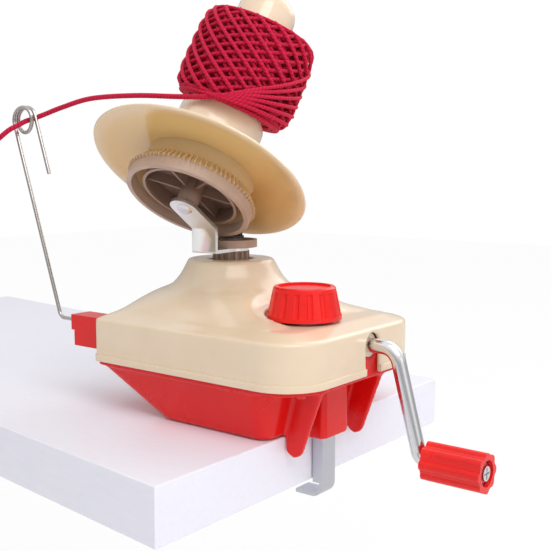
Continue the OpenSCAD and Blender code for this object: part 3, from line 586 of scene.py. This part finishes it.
def ring_finish():
    """Taupe of the ring gear, with painted light on the teeth that stand against the dish and painted shade
    in its hollow.
    """
    name = "ring_gear_moulding"
    if name in bpy.data.materials:
        return bpy.data.materials[name]
    c = winder_colours()
    finish, w, shader = blank_finish(name)
    point = w.node("ShaderNodeTexCoord").outputs["Object"]
    skin = w.node("ShaderNodeGroup", {
        "Point": point, "Colour": rgba(c.taupe), "Deep": rgba(c.taupe_deep), "Cloud": 70.0,
        "Gloss": 0.36, "Rub": 0.06}, node_tree=moulded_skin())
    height, reach = w.round_axis(point)
    # Painted light: the teeth are made paler
    teeth = w.math("MULTIPLY", w.ramp(height, *TOOTH_LIGHT_HEIGHT), w.ramp(reach, *TOOTH_LIGHT_REACH))
    # Painted shade: the hollow of the ring gear is darkened
    inside = w.math("MULTIPLY", w.ramp(reach, *HOLLOW_SHADE_REACH), w.ramp(height, *HOLLOW_SHADE_HEIGHT))
    body = w.mix(w.math("MULTIPLY", inside, 0.85), skin.outputs["Colour"], rgba(c.taupe_inside))
    w.fill(shader, {
        "Base Color": w.mix(teeth, body, rgba(c.tooth)), "Roughness": skin.outputs["Roughness"],
        "Coat Weight": 0.05})
    bump(w, shader, skin.outputs["Height"], strength=0.05, distance=0.0002)
    finish.diffuse_color = rgba(c.taupe)
    return finish


def metal(name, body, lines, gloss, tarnish, dent):
    if name in bpy.data.materials:
        return bpy.data.materials[name]
    finish, w, shader = blank_finish(name)
    point = w.node("ShaderNodeTexCoord").outputs["Object"]
    skin = w.node("ShaderNodeGroup", {
        "Point": point, "Colour": rgba(body), "Lines": lines, "Gloss": gloss, "Tarnish": tarnish},
        node_tree=drawn_metal())
    w.fill(shader, {
        "Base Color": skin.outputs["Colour"], "Roughness": skin.outputs["Roughness"], "Metallic": 1.0})
    bump(w, shader, skin.outputs["Height"], strength=dent, distance=0.0001)
    finish.diffuse_color = rgba(body)
    return finish


def rod_finish():
    return metal("plated_rod", winder_colours().steel, (60.0, 60.0, 500.0),
                 gloss=0.16, tarnish=0.05, dent=0.02)


def plate_finish():
    return metal("plated_arm", winder_colours().plate, (700.0, 700.0, 40.0),
                 gloss=0.3, tarnish=0.04, dent=0.02)


def strap_finish():
    return metal("plated_strap", winder_colours().strap, (700.0, 700.0, 40.0),
                 gloss=0.3, tarnish=0.1, dent=0.03)


def screw_finish():
    return metal("plated_screw", winder_colours().steel, (900.0, 900.0, 900.0),
                 gloss=0.22, tarnish=0.1, dent=0.03)


def lacquer_finish():
    """Red lacquer on the screws under the housing."""
    c = winder_colours()
    return moulding("lacquered_screw", c.red, c.red_deep, gloss=0.24, rub=0.05, coat=0.4, dent=0.03)


def wire_finish():
    return metal("drawn_wire", winder_colours().wire, (500.0, 900.0, 45.0),
                 gloss=0.2, tarnish=0.08, dent=0.02)


def yarn_finish():
    name = "twisted_yarn"
    if name in bpy.data.materials:
        return bpy.data.materials[name]
    c, y = winder_colours(), winder_yarn()
    finish, w, shader = blank_finish(name)
    run = w.node("ShaderNodeAttribute", attribute_name="yarn_run")
    lie = w.node("ShaderNodeAttribute", attribute_name="yarn_round")
    ply = w.node("ShaderNodeGroup", {
        "Run": run.outputs["Fac"], "Round": lie.outputs["Vector"], "Colour": rgba(c.yarn),
        # The shade colour is painted shade for the grooves between the plies
        "Shade": rgba(c.yarn_shade), "Twist": y.twist}, node_tree=ply_twist())
    w.fill(shader, {
        "Base Color": ply.outputs["Colour"], "Roughness": ply.outputs["Roughness"],
        "Sheen Weight": 0.04, "Sheen Roughness": 0.5, "Specular IOR Level": 0.15})
    bump(w, shader, ply.outputs["Height"], strength=0.5, distance=0.0003)
    finish.diffuse_color = rgba(c.yarn)
    return finish


def bed_finish():
    """Deep layers of yarn, seen only through the gaps of the outer ones, in reds painted darker than the
    yarn's for the shade deep in the ball.
    """
    name = "yarn_bed"
    if name in bpy.data.materials:
        return bpy.data.materials[name]
    c = winder_colours()
    finish, w, shader = blank_finish(name)
    point = w.node("ShaderNodeTexCoord").outputs["Object"]
    bands = w.node("ShaderNodeTexWave", {"Vector": point, "Scale": 95.0, "Distortion": 3.0, "Detail": 3.0},
                   bands_direction="DIAGONAL")
    fibre = w.noise(point, 900.0, 4.0, 0.6)
    lit = w.math("MULTIPLY", bands.outputs["Fac"], w.ramp(fibre, 0.3, 0.7, 0.5, 1.0))
    w.fill(shader, {
        # Painted light and shade: lighter diagonal bands over a red darker than the yarn's, for the shade
        # deep in the ball
        "Base Color": w.mix(lit, rgba(tone(112, 8, 32)), rgba(tone(192, 26, 66))),
        "Roughness": w.ramp(fibre, 0.3, 0.7, 0.7, 0.95), "Specular IOR Level": 0.08})
    bump(w, shader, lit, strength=0.6, distance=0.0008)
    finish.diffuse_color = rgba(c.yarn_shade)
    return finish


# Geometry node trees

# What every tree puts out
SHAPE = [("Geometry", "Geometry")]


@built_once
def yarn_tube(name):
    """Round yarn along every line of a mesh, with its run and round kept for the twist."""
    tree, first, last = new_group(name, "GeometryNodeTree", [
        ("Geometry", "Geometry", None), ("Yarn radius", "Float", 0.0015),
        ("Sides", "Int", 10), ("Finish", "Material", None)], SHAPE)
    w = Wiring(tree)
    get = first.outputs
    rail = w.step("MeshToCurve", {"Mesh": get["Geometry"]})
    spot = w.node("GeometryNodeSplineParameter")
    rail = w.step("StoreNamedAttribute", {
        "Geometry": rail, "Name": "yarn_run", "Value": spot.outputs["Length"]},
        data_type="FLOAT", domain="POINT")
    ring = w.step("CurvePrimitiveCircle", {
        "Resolution": get["Sides"], "Radius": get["Yarn radius"]}, mode="RADIUS")
    angle = w.math("MULTIPLY", w.node("GeometryNodeSplineParameter").outputs["Factor"], 2 * math.pi)
    turn = w.node("ShaderNodeCombineXYZ", {
        0: w.math("COSINE", angle), 1: w.math("SINE", angle), 2: 0.0}).outputs[0]
    ring = w.step("StoreNamedAttribute", {"Geometry": ring, "Name": "yarn_round", "Value": turn},
                  data_type="FLOAT_VECTOR", domain="POINT")
    tube = w.step("CurveToMesh", {"Curve": rail, "Profile Curve": ring, "Fill Caps": True})
    tube = w.step("SetShadeSmooth", {0: tube})
    tube = w.step("RealizeInstances", {0: tube})
    w.put(last.inputs[0], w.step("SetMaterial", {"Geometry": tube, "Material": get["Finish"]}))
    return tree


@built_once
def edge_band(name):
    """Upright band with eased edges along every line of a mesh."""
    tree, first, last = new_group(name, "GeometryNodeTree", [
        ("Geometry", "Geometry", None), ("Depth", "Float", 0.0016),
        ("Height", "Float", 0.0037), ("Ease", "Float", 0.0003), ("Finish", "Material", None)], SHAPE)
    w = Wiring(tree)
    get = first.outputs
    rail = w.step("MeshToCurve", {"Mesh": get["Geometry"]})
    rail = w.step("SetCurveNormal", {"Curve": rail}, mode="Z_UP")
    face = w.step("CurvePrimitiveQuadrilateral", {"Width": get["Depth"], "Height": get["Height"]})
    face = w.step("FilletCurve", {"Curve": face, "Count": 3, "Radius": get["Ease"]}, mode="POLY")
    band = w.step("CurveToMesh", {"Curve": rail, "Profile Curve": face, "Fill Caps": True})
    band = w.step("RealizeInstances", {0: band})
    w.put(last.inputs[0], w.step("SetMaterial", {"Geometry": band, "Material": get["Finish"]}))
    return tree


@built_once
def soft_shading(name):
    """Joined faces shaded round, with the hard edges kept."""
    tree, first, last = new_group(name, "GeometryNodeTree", [
        ("Geometry", "Geometry", None), ("Edge angle", "Float", EDGE_ANGLE)], SHAPE)
    w = Wiring(tree)
    get = first.outputs
    body = w.step("MergeByDistance", {"Geometry": get["Geometry"], "Distance": MERGE})
    body = w.step("SetShadeSmooth", {0: body}, domain="FACE")
    bend = w.step("InputMeshEdgeAngle", {})
    hard = w.node("FunctionNodeCompare", {0: bend, 1: get["Edge angle"]},
                  data_type="FLOAT", operation="GREATER_THAN").outputs[0]
    body = w.step("SetShadeSmooth", {0: body, 1: hard, 2: False}, domain="EDGE")
    w.put(last.inputs[0], w.step("RealizeInstances", {0: body}))
    return tree


def dress(finish, *nodes):
    """Give carried-over solids their finish and round shading."""
    for node in nodes:
        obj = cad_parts[node]
        obj.data.materials.clear()
        obj.data.materials.append(finish)
        run_nodes(obj, soft_shading(), {"Edge angle": EDGE_ANGLE})


# Yarn runs

def smooth_run(points, steps):
    """A smooth line through points given in millimetres, in metres."""
    pts = [Vector(p) / 1000 for p in points]
    last = len(pts) - 1
    run = []
    for i in range(last):
        p0, p1, p2, p3 = pts[max(i - 1, 0)], pts[i], pts[i + 1], pts[min(i + 2, last)]
        for k in range(steps):
            t = k / steps
            run.append(0.5 * (2 * p1 + (p2 - p0) * t + (2 * p0 - 5 * p1 + 4 * p2 - p3) * t * t
                              + (3 * p1 - p0 - 3 * p2 + p3) * t ** 3))
    run.append(pts[last])
    return run


def on_ball(r, angle, t, shift=BALL_SHIFT):
    """A point of the leaning ball from its reach, its turn and its height from the middle."""
    y = winder_yarn()
    a = r * math.cos(angle) + shift[0]
    b = r * math.sin(angle) + shift[1]
    t += y.ball_middle + y.slant * (a * math.cos(SLANT_TURN) + b * math.sin(SLANT_TURN))
    return AXIS_FOOT + ACROSS_A * a + ACROSS_B * b + AXIS * t


def ball_run(loops, waves, points, outer, way, turn, half):
    """One unbroken layer: the passes of one way lie at the outer reach, the others under them."""
    y = winder_yarn()
    run = []
    for k in range(waves * points + 1):
        p = 2 * math.pi * k / points
        t = half * math.asin(TURN_BACK * math.sin(p)) / math.asin(TURN_BACK)
        barrel = outer - LAY - DRAWN_IN * (t / y.ball_half) ** 4
        r = barrel - way * LAY * max(-1.0, min(1.0, math.cos(p) / math.sin(math.pi / waves)))
        run.append(on_ball(r, p * loops / waves + turn, t))
    return run


def last_turn(rise, start):
    """One of the last turns, fanning out from the low end of the ball; start is in degrees."""
    y = winder_yarn()
    run = []
    for k in range(FAN_POINTS + 1):
        s = k / FAN_POINTS
        t = FAN_LOW + rise * s
        low = max(0.0, -t - BEND_FROM)
        dive = max(0.0, (s - DIVE_FROM) / (1 - DIVE_FROM))
        r = y.ball_radius + FAN_PROUD - BEND * low ** 2 - DIVE * dive ** 2
        run.append(on_ball(r, math.radians(start + (FAN_END - start) * s), t))
    return run


def end_turns(inner, t):
    """Rings of yarn side by side over one end of the ball."""
    y = winder_yarn()
    runs = []
    r = inner
    while r < y.ball_radius - END_RIM:
        runs.append([on_ball(r, 2 * math.pi * k / END_POINTS, t) for k in range(END_POINTS + 1)])
        r += END_STEP * y.wound
    return runs


def yarn_piece(name, runs, body, radius):
    y = winder_yarn()
    obj = line_piece(name, runs)
    run_nodes(obj, yarn_tube(), {"Yarn radius": radius, "Sides": y.sides, "Finish": yarn_finish()})
    settle(obj)
    if body:
        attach(obj, body)
    return obj


# Mouldings

def soften(obj, label, rounds):
    """Add the step that eases edges, more with each round."""
    ease = obj.modifiers.new(label, "SMOOTH")
    ease.factor = 0.5
    ease.iterations = rounds
    return ease


def move_corners(mesh, spots):
    mesh.vertices.foreach_set("co", [value for spot in spots for value in spot])
    mesh.update()


def moulded_copy(node, name, finish, rounds):
    """A moulding of the same form as its solid, with the soft edges that a mould leaves."""
    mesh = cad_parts[node].data.copy()
    mesh.name = name
    shell = bmesh.new()
    shell.from_mesh(mesh)
    bmesh.ops.remove_doubles(shell, verts=shell.verts, dist=MERGE)
    shell.to_mesh(mesh)
    shell.free()
    obj = show(bpy.data.objects.new(name, mesh))
    skin = obj.modifiers.new("even_skin", "REMESH")
    skin.mode = "VOXEL"
    skin.voxel_size = SKIN_STEP
    skin.use_smooth_shade = True
    soften(obj, "soft_edges", rounds)
    settle(obj)
    obj.data.materials.clear()
    obj.data.materials.append(finish)
    return obj


def fade(value, low, high):
    """0 under low, 1 over high, soft between."""
    x = max(0.0, min(1.0, (value - low) / (high - low)))
    return x * x * (3 - 2 * x)


def to_outline(x, y):
    """How far a place lies inside the housing outline, and the way straight out from it."""
    r = FRONT_ROUND if x > 0 else BACK_ROUND
    way_x, way_y = math.copysign(1, x), math.copysign(1, y)
    out_x, out_y = abs(x) - (HALF_LONG - r), abs(y) - (HALF_WIDE - r)
    if out_x > 0 and out_y > 0:
        reach = math.hypot(out_x, out_y)
        return r - reach, way_x * out_x / reach, way_y * out_y / reach
    if out_x > out_y:
        return r - out_x, way_x, 0.0
    return r - out_y, 0.0, way_y


def flow_hill(obj):
    """Raise the foot of the neck into a long hollow curve, and set the wall back over the lip."""
    mesh = obj.data
    spots = [v.co.copy() for v in mesh.vertices]
    upward = [v.normal.z > UPWARD for v in mesh.vertices]
    weights = []
    for spot, lifted in zip(spots, upward):
        reach = (spot.xy - NECK).length
        clear = fade((spot.xy - KNOB).length, *KNOB_ROOM)
        hill = clear * fade(spot.z, *HILL_FOOT)
        if lifted:
            spot.z += HILL_LIFT * hill * fade(reach, *LIFT_IN) * (1 - fade(reach, *LIFT_OUT))
        weights.append(hill * fade(reach, *SMOOTH_IN) * (1 - fade(reach, *SMOOTH_OUT)))
        depth, out_x, out_y = to_outline(spot.x, spot.y)
        if spot.z < WALL_TOP and depth < LIP_STEP:
            spot.x -= (LIP_STEP - depth) * out_x
            spot.y -= (LIP_STEP - depth) * out_y
    move_corners(mesh, spots)
    part = obj.vertex_groups.new(name="hill")
    for index, weight in enumerate(weights):
        if weight > LEAST_WEIGHT:
            part.add([index], weight, "REPLACE")
    soften(obj, "soft_hill", HILL_ROUNDS).vertex_group = part.name
    settle(obj)


def pull_to(value, plane):
    """A coordinate drawn onto a plane that lies near enough to it."""
    return value + (plane - value) * (1 - fade(abs(value - plane), *TRUE_NEAR))


def steepen_tub(obj):
    """True up the tub's sides and slanted end, and set the end's foot back so that it rises steeply."""
    mesh = obj.data
    spots = [v.co.copy() for v in mesh.vertices]
    for spot in spots:
        drop = TUB_RIM - spot.z
        if TRUE_FROM < drop < TRUE_TO:
            wide = TUB_WIDE - TUB_TAPER * drop
            back = TUB_END + TUB_SLOPE * drop
            if back + TUB_ROUND < spot.x < TUB_FRONT:
                spot.y = math.copysign(pull_to(abs(spot.y), wide), spot.y)
            if abs(spot.y) < wide - TUB_ROUND:
                spot.z = pull_to(spot.z, TUB_RIM - (spot.x - TUB_END) / TUB_SLOPE)
        over = spot.z - (TUB_RIM - (spot.x - TUB_END) / TUB_SLOPE)
        near = 1 - fade(over, *TUB_WALL)
        spot.x -= TUB_BACK * near * max(0.0, 1 - spot.z / TUB_RIM)
    move_corners(mesh, spots)


def housing_outline(inset, z):
    """Plan outline of the housing, open at the crank slot."""
    run = [Vector((HALF_LONG - inset, SLOT_MIDDLE + SLOT_HALF, z))]
    for way_x, way_y, r, start in ((1, 1, FRONT_ROUND, 0), (-1, 1, BACK_ROUND, 90),
                                   (-1, -1, BACK_ROUND, 180), (1, -1, FRONT_ROUND, 270)):
        x, y = way_x * (HALF_LONG - r), way_y * (HALF_WIDE - r)
        for k in range(CORNER_STEPS + 1):
            angle = math.radians(start + 90 * k / CORNER_STEPS)
            run.append(Vector((x + (r - inset) * math.cos(angle), y + (r - inset) * math.sin(angle), z)))
    run.append(Vector((HALF_LONG - inset, SLOT_MIDDLE - SLOT_HALF, z)))
    return run


# Operators

class WINDER_OT_stage(bpy.types.Operator):
    """Camera, table board, floor, lamps and room light"""

    bl_idname = "winder.stage"
    bl_label = "Stage"

    def execute(self, context):
        c, s = winder_colours(), winder_stage()
        scene = context.scene
        scene.view_settings.view_transform = "Standard"
        self.camera(scene, s)
        self.board(c, s)
        self.floor(s)
        self.lamps(s)
        self.room(scene, s)
        return {"FINISHED"}

    def camera(self, scene, s):
        data = bpy.data.cameras.new("photo_camera")
        data.sensor_width = SENSOR
        data.lens = s.lens
        data.clip_start, data.clip_end = CAMERA_NEAR, CAMERA_FAR
        cam = show(bpy.data.objects.new("photo_camera", data))
        aim_at(cam, CAMERA_PLACE, CAMERA_AIM)
        scene.camera = cam

    def board(self, c, s):
        mesh = bpy.data.meshes.new("table_board")
        corners = [(x, y, z) for z in (-BOARD_GAP, -s.board_thick) for x, y in BOARD_CORNERS]
        faces = [(0, 1, 2, 3), (7, 6, 5, 4), (0, 4, 5, 1), (1, 5, 6, 2), (2, 6, 7, 3), (3, 7, 4, 0)]
        mesh.from_pydata(corners, [], faces)
        obj = show(bpy.data.objects.new("table_board", mesh))
        edge = obj.modifiers.new("eased_edges", "BEVEL")
        edge.width, edge.segments = BOARD_EASE, 3
        finish, w, shader = blank_finish("board_laminate")
        point = w.node("ShaderNodeTexCoord").outputs["Object"]
        grain = w.noise(w.stretch(point, (1.0, 6.0, 6.0)), 60.0, 4.0)
        body = w.mix(w.ramp(grain, 0.3, 0.7), rgba(c.board), rgba(tone(240, 239, 250)))
        w.fill(shader, {"Base Color": body, "Roughness": w.ramp(grain, 0.3, 0.7, 0.32, 0.42)})
        bump(w, shader, grain, strength=0.02, distance=0.0002)
        mesh.materials.append(finish)

    def floor(self, s):
        mesh = bpy.data.meshes.new("floor")
        corners = [(x * FLOOR_REACH, y * FLOOR_REACH, -s.floor_drop)
                   for x, y in ((-1, -1), (1, -1), (1, 1), (-1, 1))]
        mesh.from_pydata(corners, [], [(0, 1, 2, 3)])
        obj = show(bpy.data.objects.new("floor", mesh))
        finish, w, shader = blank_finish("floor_paper")
        point = w.node("ShaderNodeTexCoord").outputs["Object"]
        fleck = w.noise(point, 400.0, 3.0)
        body = w.mix(fleck, rgba(tone(250, 250, 250)), rgba(tone(246, 246, 247)))
        w.fill(shader, {"Base Color": body, "Roughness": 0.9, "Specular IOR Level": 0.1})
        rays = w.node("ShaderNodeLightPath").outputs
        direct = w.math("MAXIMUM", rays["Is Camera Ray"], rays["Is Transmission Ray"])
        mirrored = w.math("MULTIPLY", rays["Is Glossy Ray"], 0.85)
        glow = w.node("ShaderNodeEmission", {
            "Color": (1.0, 1.0, 1.0, 1.0), "Strength": w.math("MAXIMUM", direct, mirrored)})
        seen = w.math("MAXIMUM", direct, rays["Is Glossy Ray"])
        both = w.node("ShaderNodeMixShader", {
            0: w.math("MULTIPLY", seen, 0.95), 1: shader.outputs[0], 2: glow.outputs[0]})
        out = next(n for n in finish.node_tree.nodes if n.type == "OUTPUT_MATERIAL")
        w.put(out.inputs["Surface"], both.outputs[0])
        mesh.materials.append(finish)

    def lamps(self, s):
        for name, place, aim, size, power in (
                ("key_lamp", (0.62, -0.40, 1.10), (0.0, 0.0, 0.08), 0.9, s.key),
                ("fill_lamp", (0.95, -0.10, 0.16), (0.04, 0.0, 0.02), 0.6, s.fill),
                ("back_lamp", (0.15, 0.95, 0.85), (0.0, 0.0, 0.10), 0.9, s.rim)):
            data = bpy.data.lights.new(name, "AREA")
            data.shape, data.size, data.energy = "SQUARE", size, power
            aim_at(show(bpy.data.objects.new(name, data)), place, aim)

    def room(self, scene, s):
        world = bpy.data.worlds.new("room")
        scene.world = world
        world.use_nodes = True
        w = Wiring(world.node_tree)
        lit = world.node_tree.nodes["Background"]
        lit.inputs["Color"].default_value = (1.0, 1.0, 1.0, 1.0)
        way = w.node("ShaderNodeTexCoord").outputs["Generated"]
        rise = w.node("ShaderNodeSeparateXYZ", {0: way}).outputs[2]
        rays = w.node("ShaderNodeLightPath").outputs
        glossy = rays["Is Glossy Ray"]
        mirrored = w.math("MULTIPLY", glossy, w.ramp(rise, 0.05, 0.55, 0.42, 1.0))
        plain = w.math("MULTIPLY", w.math("SUBTRACT", 1.0, glossy), s.sky)
        w.put(lit.inputs["Strength"], w.math("ADD", plain, mirrored))
        white = w.node("ShaderNodeBackground", {"Color": (1.0, 1.0, 1.0, 1.0), "Strength": 1.0})
        seen = w.math("MAXIMUM", rays["Is Camera Ray"], rays["Is Transmission Ray"])
        both = w.node("ShaderNodeMixShader", {0: seen, 1: lit.outputs[0], 2: white.outputs[0]})
        out = next(n for n in world.node_tree.nodes if n.type == "OUTPUT_WORLD")
        w.put(out.inputs["Surface"], both.outputs[0])


class WINDER_OT_free_yarn(bpy.types.Operator):
    """Yarn between the ball and the guide eye, with the knot at its far end"""

    bl_idname = "winder.free_yarn"
    bl_label = "Free Yarn"

    def execute(self, context):
        y = winder_yarn()
        run = smooth_run(STRAND_ROUTE, STRAND_STEPS)
        strand = yarn_piece("free_yarn", [run], None, y.radius)
        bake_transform(strand)
        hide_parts("yarn_strand")
        knot = yarn_piece("yarn_end_knot", [self.knot_run(run)], "guide", y.radius)
        return {"FINISHED"}

    def knot_run(self, run):
        """A closed overhand knot past the end of a run."""
        out = (run[-1] - run[-3]).normalized()
        side = out.cross(Vector((0, 0, 1))).normalized()
        up = side.cross(out)
        middle = run[-1] + out * KNOT_PAST
        points = []
        for i in range(KNOT_POINTS + 1):
            t = 2 * math.pi * i / KNOT_POINTS
            points.append(middle + KNOT_SIZE * (
                side * (math.sin(t) + 2 * math.sin(2 * t)) + up * (math.cos(t) - 2 * math.cos(2 * t))
                - out * KNOT_DEPTH * math.sin(3 * t)))
        return points


class WINDER_OT_yarn_ball(bpy.types.Operator):
    """Wound ball: crossing layers of one yarn over a bed of earlier turns"""

    bl_idname = "winder.yarn_ball"
    bl_label = "Yarn Ball"

    def execute(self, context):
        y = winder_yarn()
        gap = 2 * math.pi / y.waves
        top = y.ball_radius - y.wound
        half = y.ball_half
        layers = [
            ball_run(y.loops, y.waves, PASS_POINTS, top, 1, 0.0, half),
            ball_run(y.cross_loops, y.cross_waves, CROSS_POINTS, top - LAYER_STEP, -1, CROSS_TURN,
                     CROSS_SHARE * half),
            ball_run(y.loops, y.waves, PASS_POINTS, top - 2 * LAYER_STEP, 1, gap / 2, UNDER_SHARE * half),
        ]
        layers += end_turns(END_REACH, -END_SHARE * half) + end_turns(END_REACH, END_SHARE * half)
        layers += end_turns(LOW_END_REACH, -LOW_END_SHARE * half)
        ball = yarn_piece("yarn_ball", layers, "spool", y.wound)
        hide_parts("yarn_winding")
        turns = [last_turn(FAN_RISE * (1 - k / y.wraps) ** FAN_FALL, FAN_START - FAN_STEP * k)
                 for k in range(y.wraps)]
        yarn_piece("yarn_last_turns", turns, "spool", y.wound)
        bed = self.bed(y)
        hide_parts("yarn_core")
        return {"FINISHED"}

    def bed(self, y):
        """Closed ring of packed yarn, leaning as the ball does."""
        half = BED_SHARE * y.ball_half
        outer = y.ball_radius - BED_DEPTH
        profile = [(BED_INNER, -half)]
        for i in range(BED_STEPS + 1):
            x = -1 + 2 * i / BED_STEPS
            profile.append((outer - BED_DRAWN_IN * x ** 6, half * x))
        profile.append((BED_INNER, half))
        points, faces = [], []
        for j in range(BED_SIDES):
            angle = 2 * math.pi * j / BED_SIDES
            points += [on_ball(r, angle, t, (0.0, 0.0)) for r, t in profile]
        count = len(profile)
        for j in range(BED_SIDES):
            for i in range(count):
                k = (i + 1) % count
                n = (j + 1) % BED_SIDES
                faces.append((j * count + i, n * count + i, n * count + k, j * count + k))
        mesh = bpy.data.meshes.new("yarn_bed")
        mesh.from_pydata([tuple(p) for p in points], [], faces)
        shell = bmesh.new()
        shell.from_mesh(mesh)
        bmesh.ops.recalc_face_normals(shell, faces=shell.faces)
        shell.to_mesh(mesh)
        shell.free()
        mesh.shade_smooth()
        mesh.materials.append(bed_finish())
        obj = show(bpy.data.objects.new("yarn_bed", mesh))
        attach(obj, "spool")
        return obj


class WINDER_OT_housing(bpy.types.Operator):
    """Cream cover and red tub with soft moulded edges, and their pin, screws and bushes"""

    bl_idname = "winder.housing"
    bl_label = "Housing"

    def execute(self, context):
        cover = moulded_copy("top_cover", "moulded_cover", cream_finish(), COVER_ROUNDS)
        flow_hill(cover)
        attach(cover, "base")
        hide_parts("top_cover")
        self.lip()
        tub = moulded_copy("bottom_tub", "moulded_tub", red_finish(), TUB_ROUNDS)
        steepen_tub(tub)
        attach(tub, "base")
        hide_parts("bottom_tub")
        dress(lacquer_finish(), "cover_screws")
        dress(screw_finish(), "centre_pin", "thrust_washer", "guide_block_screws")
        dress(cream_finish(), "crank_bush_front", "crank_bush_rear")
        return {"FINISHED"}

    def lip(self):
        """Raised band round the low edge of the cover."""
        run = housing_outline(LIP_DEEP / 2, (LIP_LOW + LIP_HIGH) / 2)
        obj = line_piece("cover_lip", [run])
        run_nodes(obj, edge_band(), {
            "Depth": LIP_DEEP, "Height": LIP_HIGH - LIP_LOW, "Finish": cream_finish()})
        settle(obj)
        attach(obj, "base")


class WINDER_OT_spool(bpy.types.Operator):
    """Spool with its dish, cap and ring gear"""

    bl_idname = "winder.spool"
    bl_label = "Spool"

    def execute(self, context):
        dress(dish_finish(), "spool")
        dress(cream_finish(), "spool_cap")
        dress(ring_finish(), "ring_gear")
        dress(screw_finish(), "ring_screws")
        return {"FINISHED"}


class WINDER_OT_drive(bpy.types.Operator):
    """Arm, sleeve, gears and pinion between the housing and the spool"""

    bl_idname = "winder.drive"
    bl_label = "Drive"

    def execute(self, context):
        dress(taupe_finish(), "sleeve_pinion", "arm_collar", "drive_tube", "crown_gear")
        dress(black_finish(), "spool_pinion")
        dress(plate_finish(), "spindle_arm")
        dress(screw_finish(), "collar_screws", "spool_axle", "axle_washer", "axle_clip", "gear_pin")
        return {"FINISHED"}


class WINDER_OT_crank(bpy.types.Operator):
    """Bent crank rod with its ribbed grip"""

    bl_idname = "winder.crank"
    bl_label = "Crank"

    def execute(self, context):
        dress(rod_finish(), "crank_rod")
        dress(knob_finish(), "crank_grip")
        dress(screw_finish(), "crank_clips", "grip_washer", "grip_screw")
        return {"FINISHED"}


class WINDER_OT_clamp(bpy.types.Operator):
    """Clamp knob, bolt, nut and strap"""

    bl_idname = "winder.clamp"
    bl_label = "Clamp"

    def execute(self, context):
        dress(knob_finish(), "clamp_knob")
        dress(strap_finish(), "clamp_strap")
        dress(screw_finish(), "clamp_bolt", "knob_washer", "bolt_clip", "clamp_nut")
        return {"FINISHED"}


class WINDER_OT_guide(bpy.types.Operator):
    """Folding yarn guide and its block"""

    bl_idname = "winder.guide"
    bl_label = "Yarn Guide"

    def execute(self, context):
        dress(wire_finish(), "guide_wire")
        dress(red_finish(), "guide_block")
        return {"FINISHED"}


class WINDER_PT_panel(bpy.types.Panel):
    """Lists the winder's pieces and sizes"""

    bl_idname = "WINDER_PT_panel"
    bl_label = "Yarn Ball Winder"
    bl_space_type = "VIEW_3D"
    bl_region_type = "UI"
    bl_category = "Winder"

    def draw(self, context):
        column = self.layout.column()
        for operator in OPERATORS:
            column.operator(operator.bl_idname)
        for group in (winder_colours(), winder_yarn(), winder_stage()):
            for key in group.__annotations__:
                column.prop(group, key)


OPERATORS = (
    WINDER_OT_stage, WINDER_OT_free_yarn, WINDER_OT_yarn_ball, WINDER_OT_housing, WINDER_OT_spool,
    WINDER_OT_drive, WINDER_OT_crank, WINDER_OT_clamp, WINDER_OT_guide)
GROUPS = (WinderColours, YarnSizes, StageSizes)


def register():
    for item in GROUPS + OPERATORS + (WINDER_PT_panel,):
        bpy.utils.register_class(item)
    bpy.types.Scene.winder_colours = PointerProperty(type=WinderColours)
    bpy.types.Scene.winder_yarn = PointerProperty(type=YarnSizes)
    bpy.types.Scene.winder_stage = PointerProperty(type=StageSizes)


def unregister():
    del bpy.types.Scene.winder_stage
    del bpy.types.Scene.winder_yarn
    del bpy.types.Scene.winder_colours
    for item in reversed(GROUPS + OPERATORS + (WINDER_PT_panel,)):
        bpy.utils.unregister_class(item)


def main():
    register()
    bpy.ops.winder.stage()
    bpy.ops.winder.free_yarn()
    bpy.ops.winder.yarn_ball()
    bpy.ops.winder.housing()
    bpy.ops.winder.spool()
    bpy.ops.winder.drive()
    bpy.ops.winder.crank()
    bpy.ops.winder.clamp()
    bpy.ops.winder.guide()


if __name__ == "__main__":
    main()
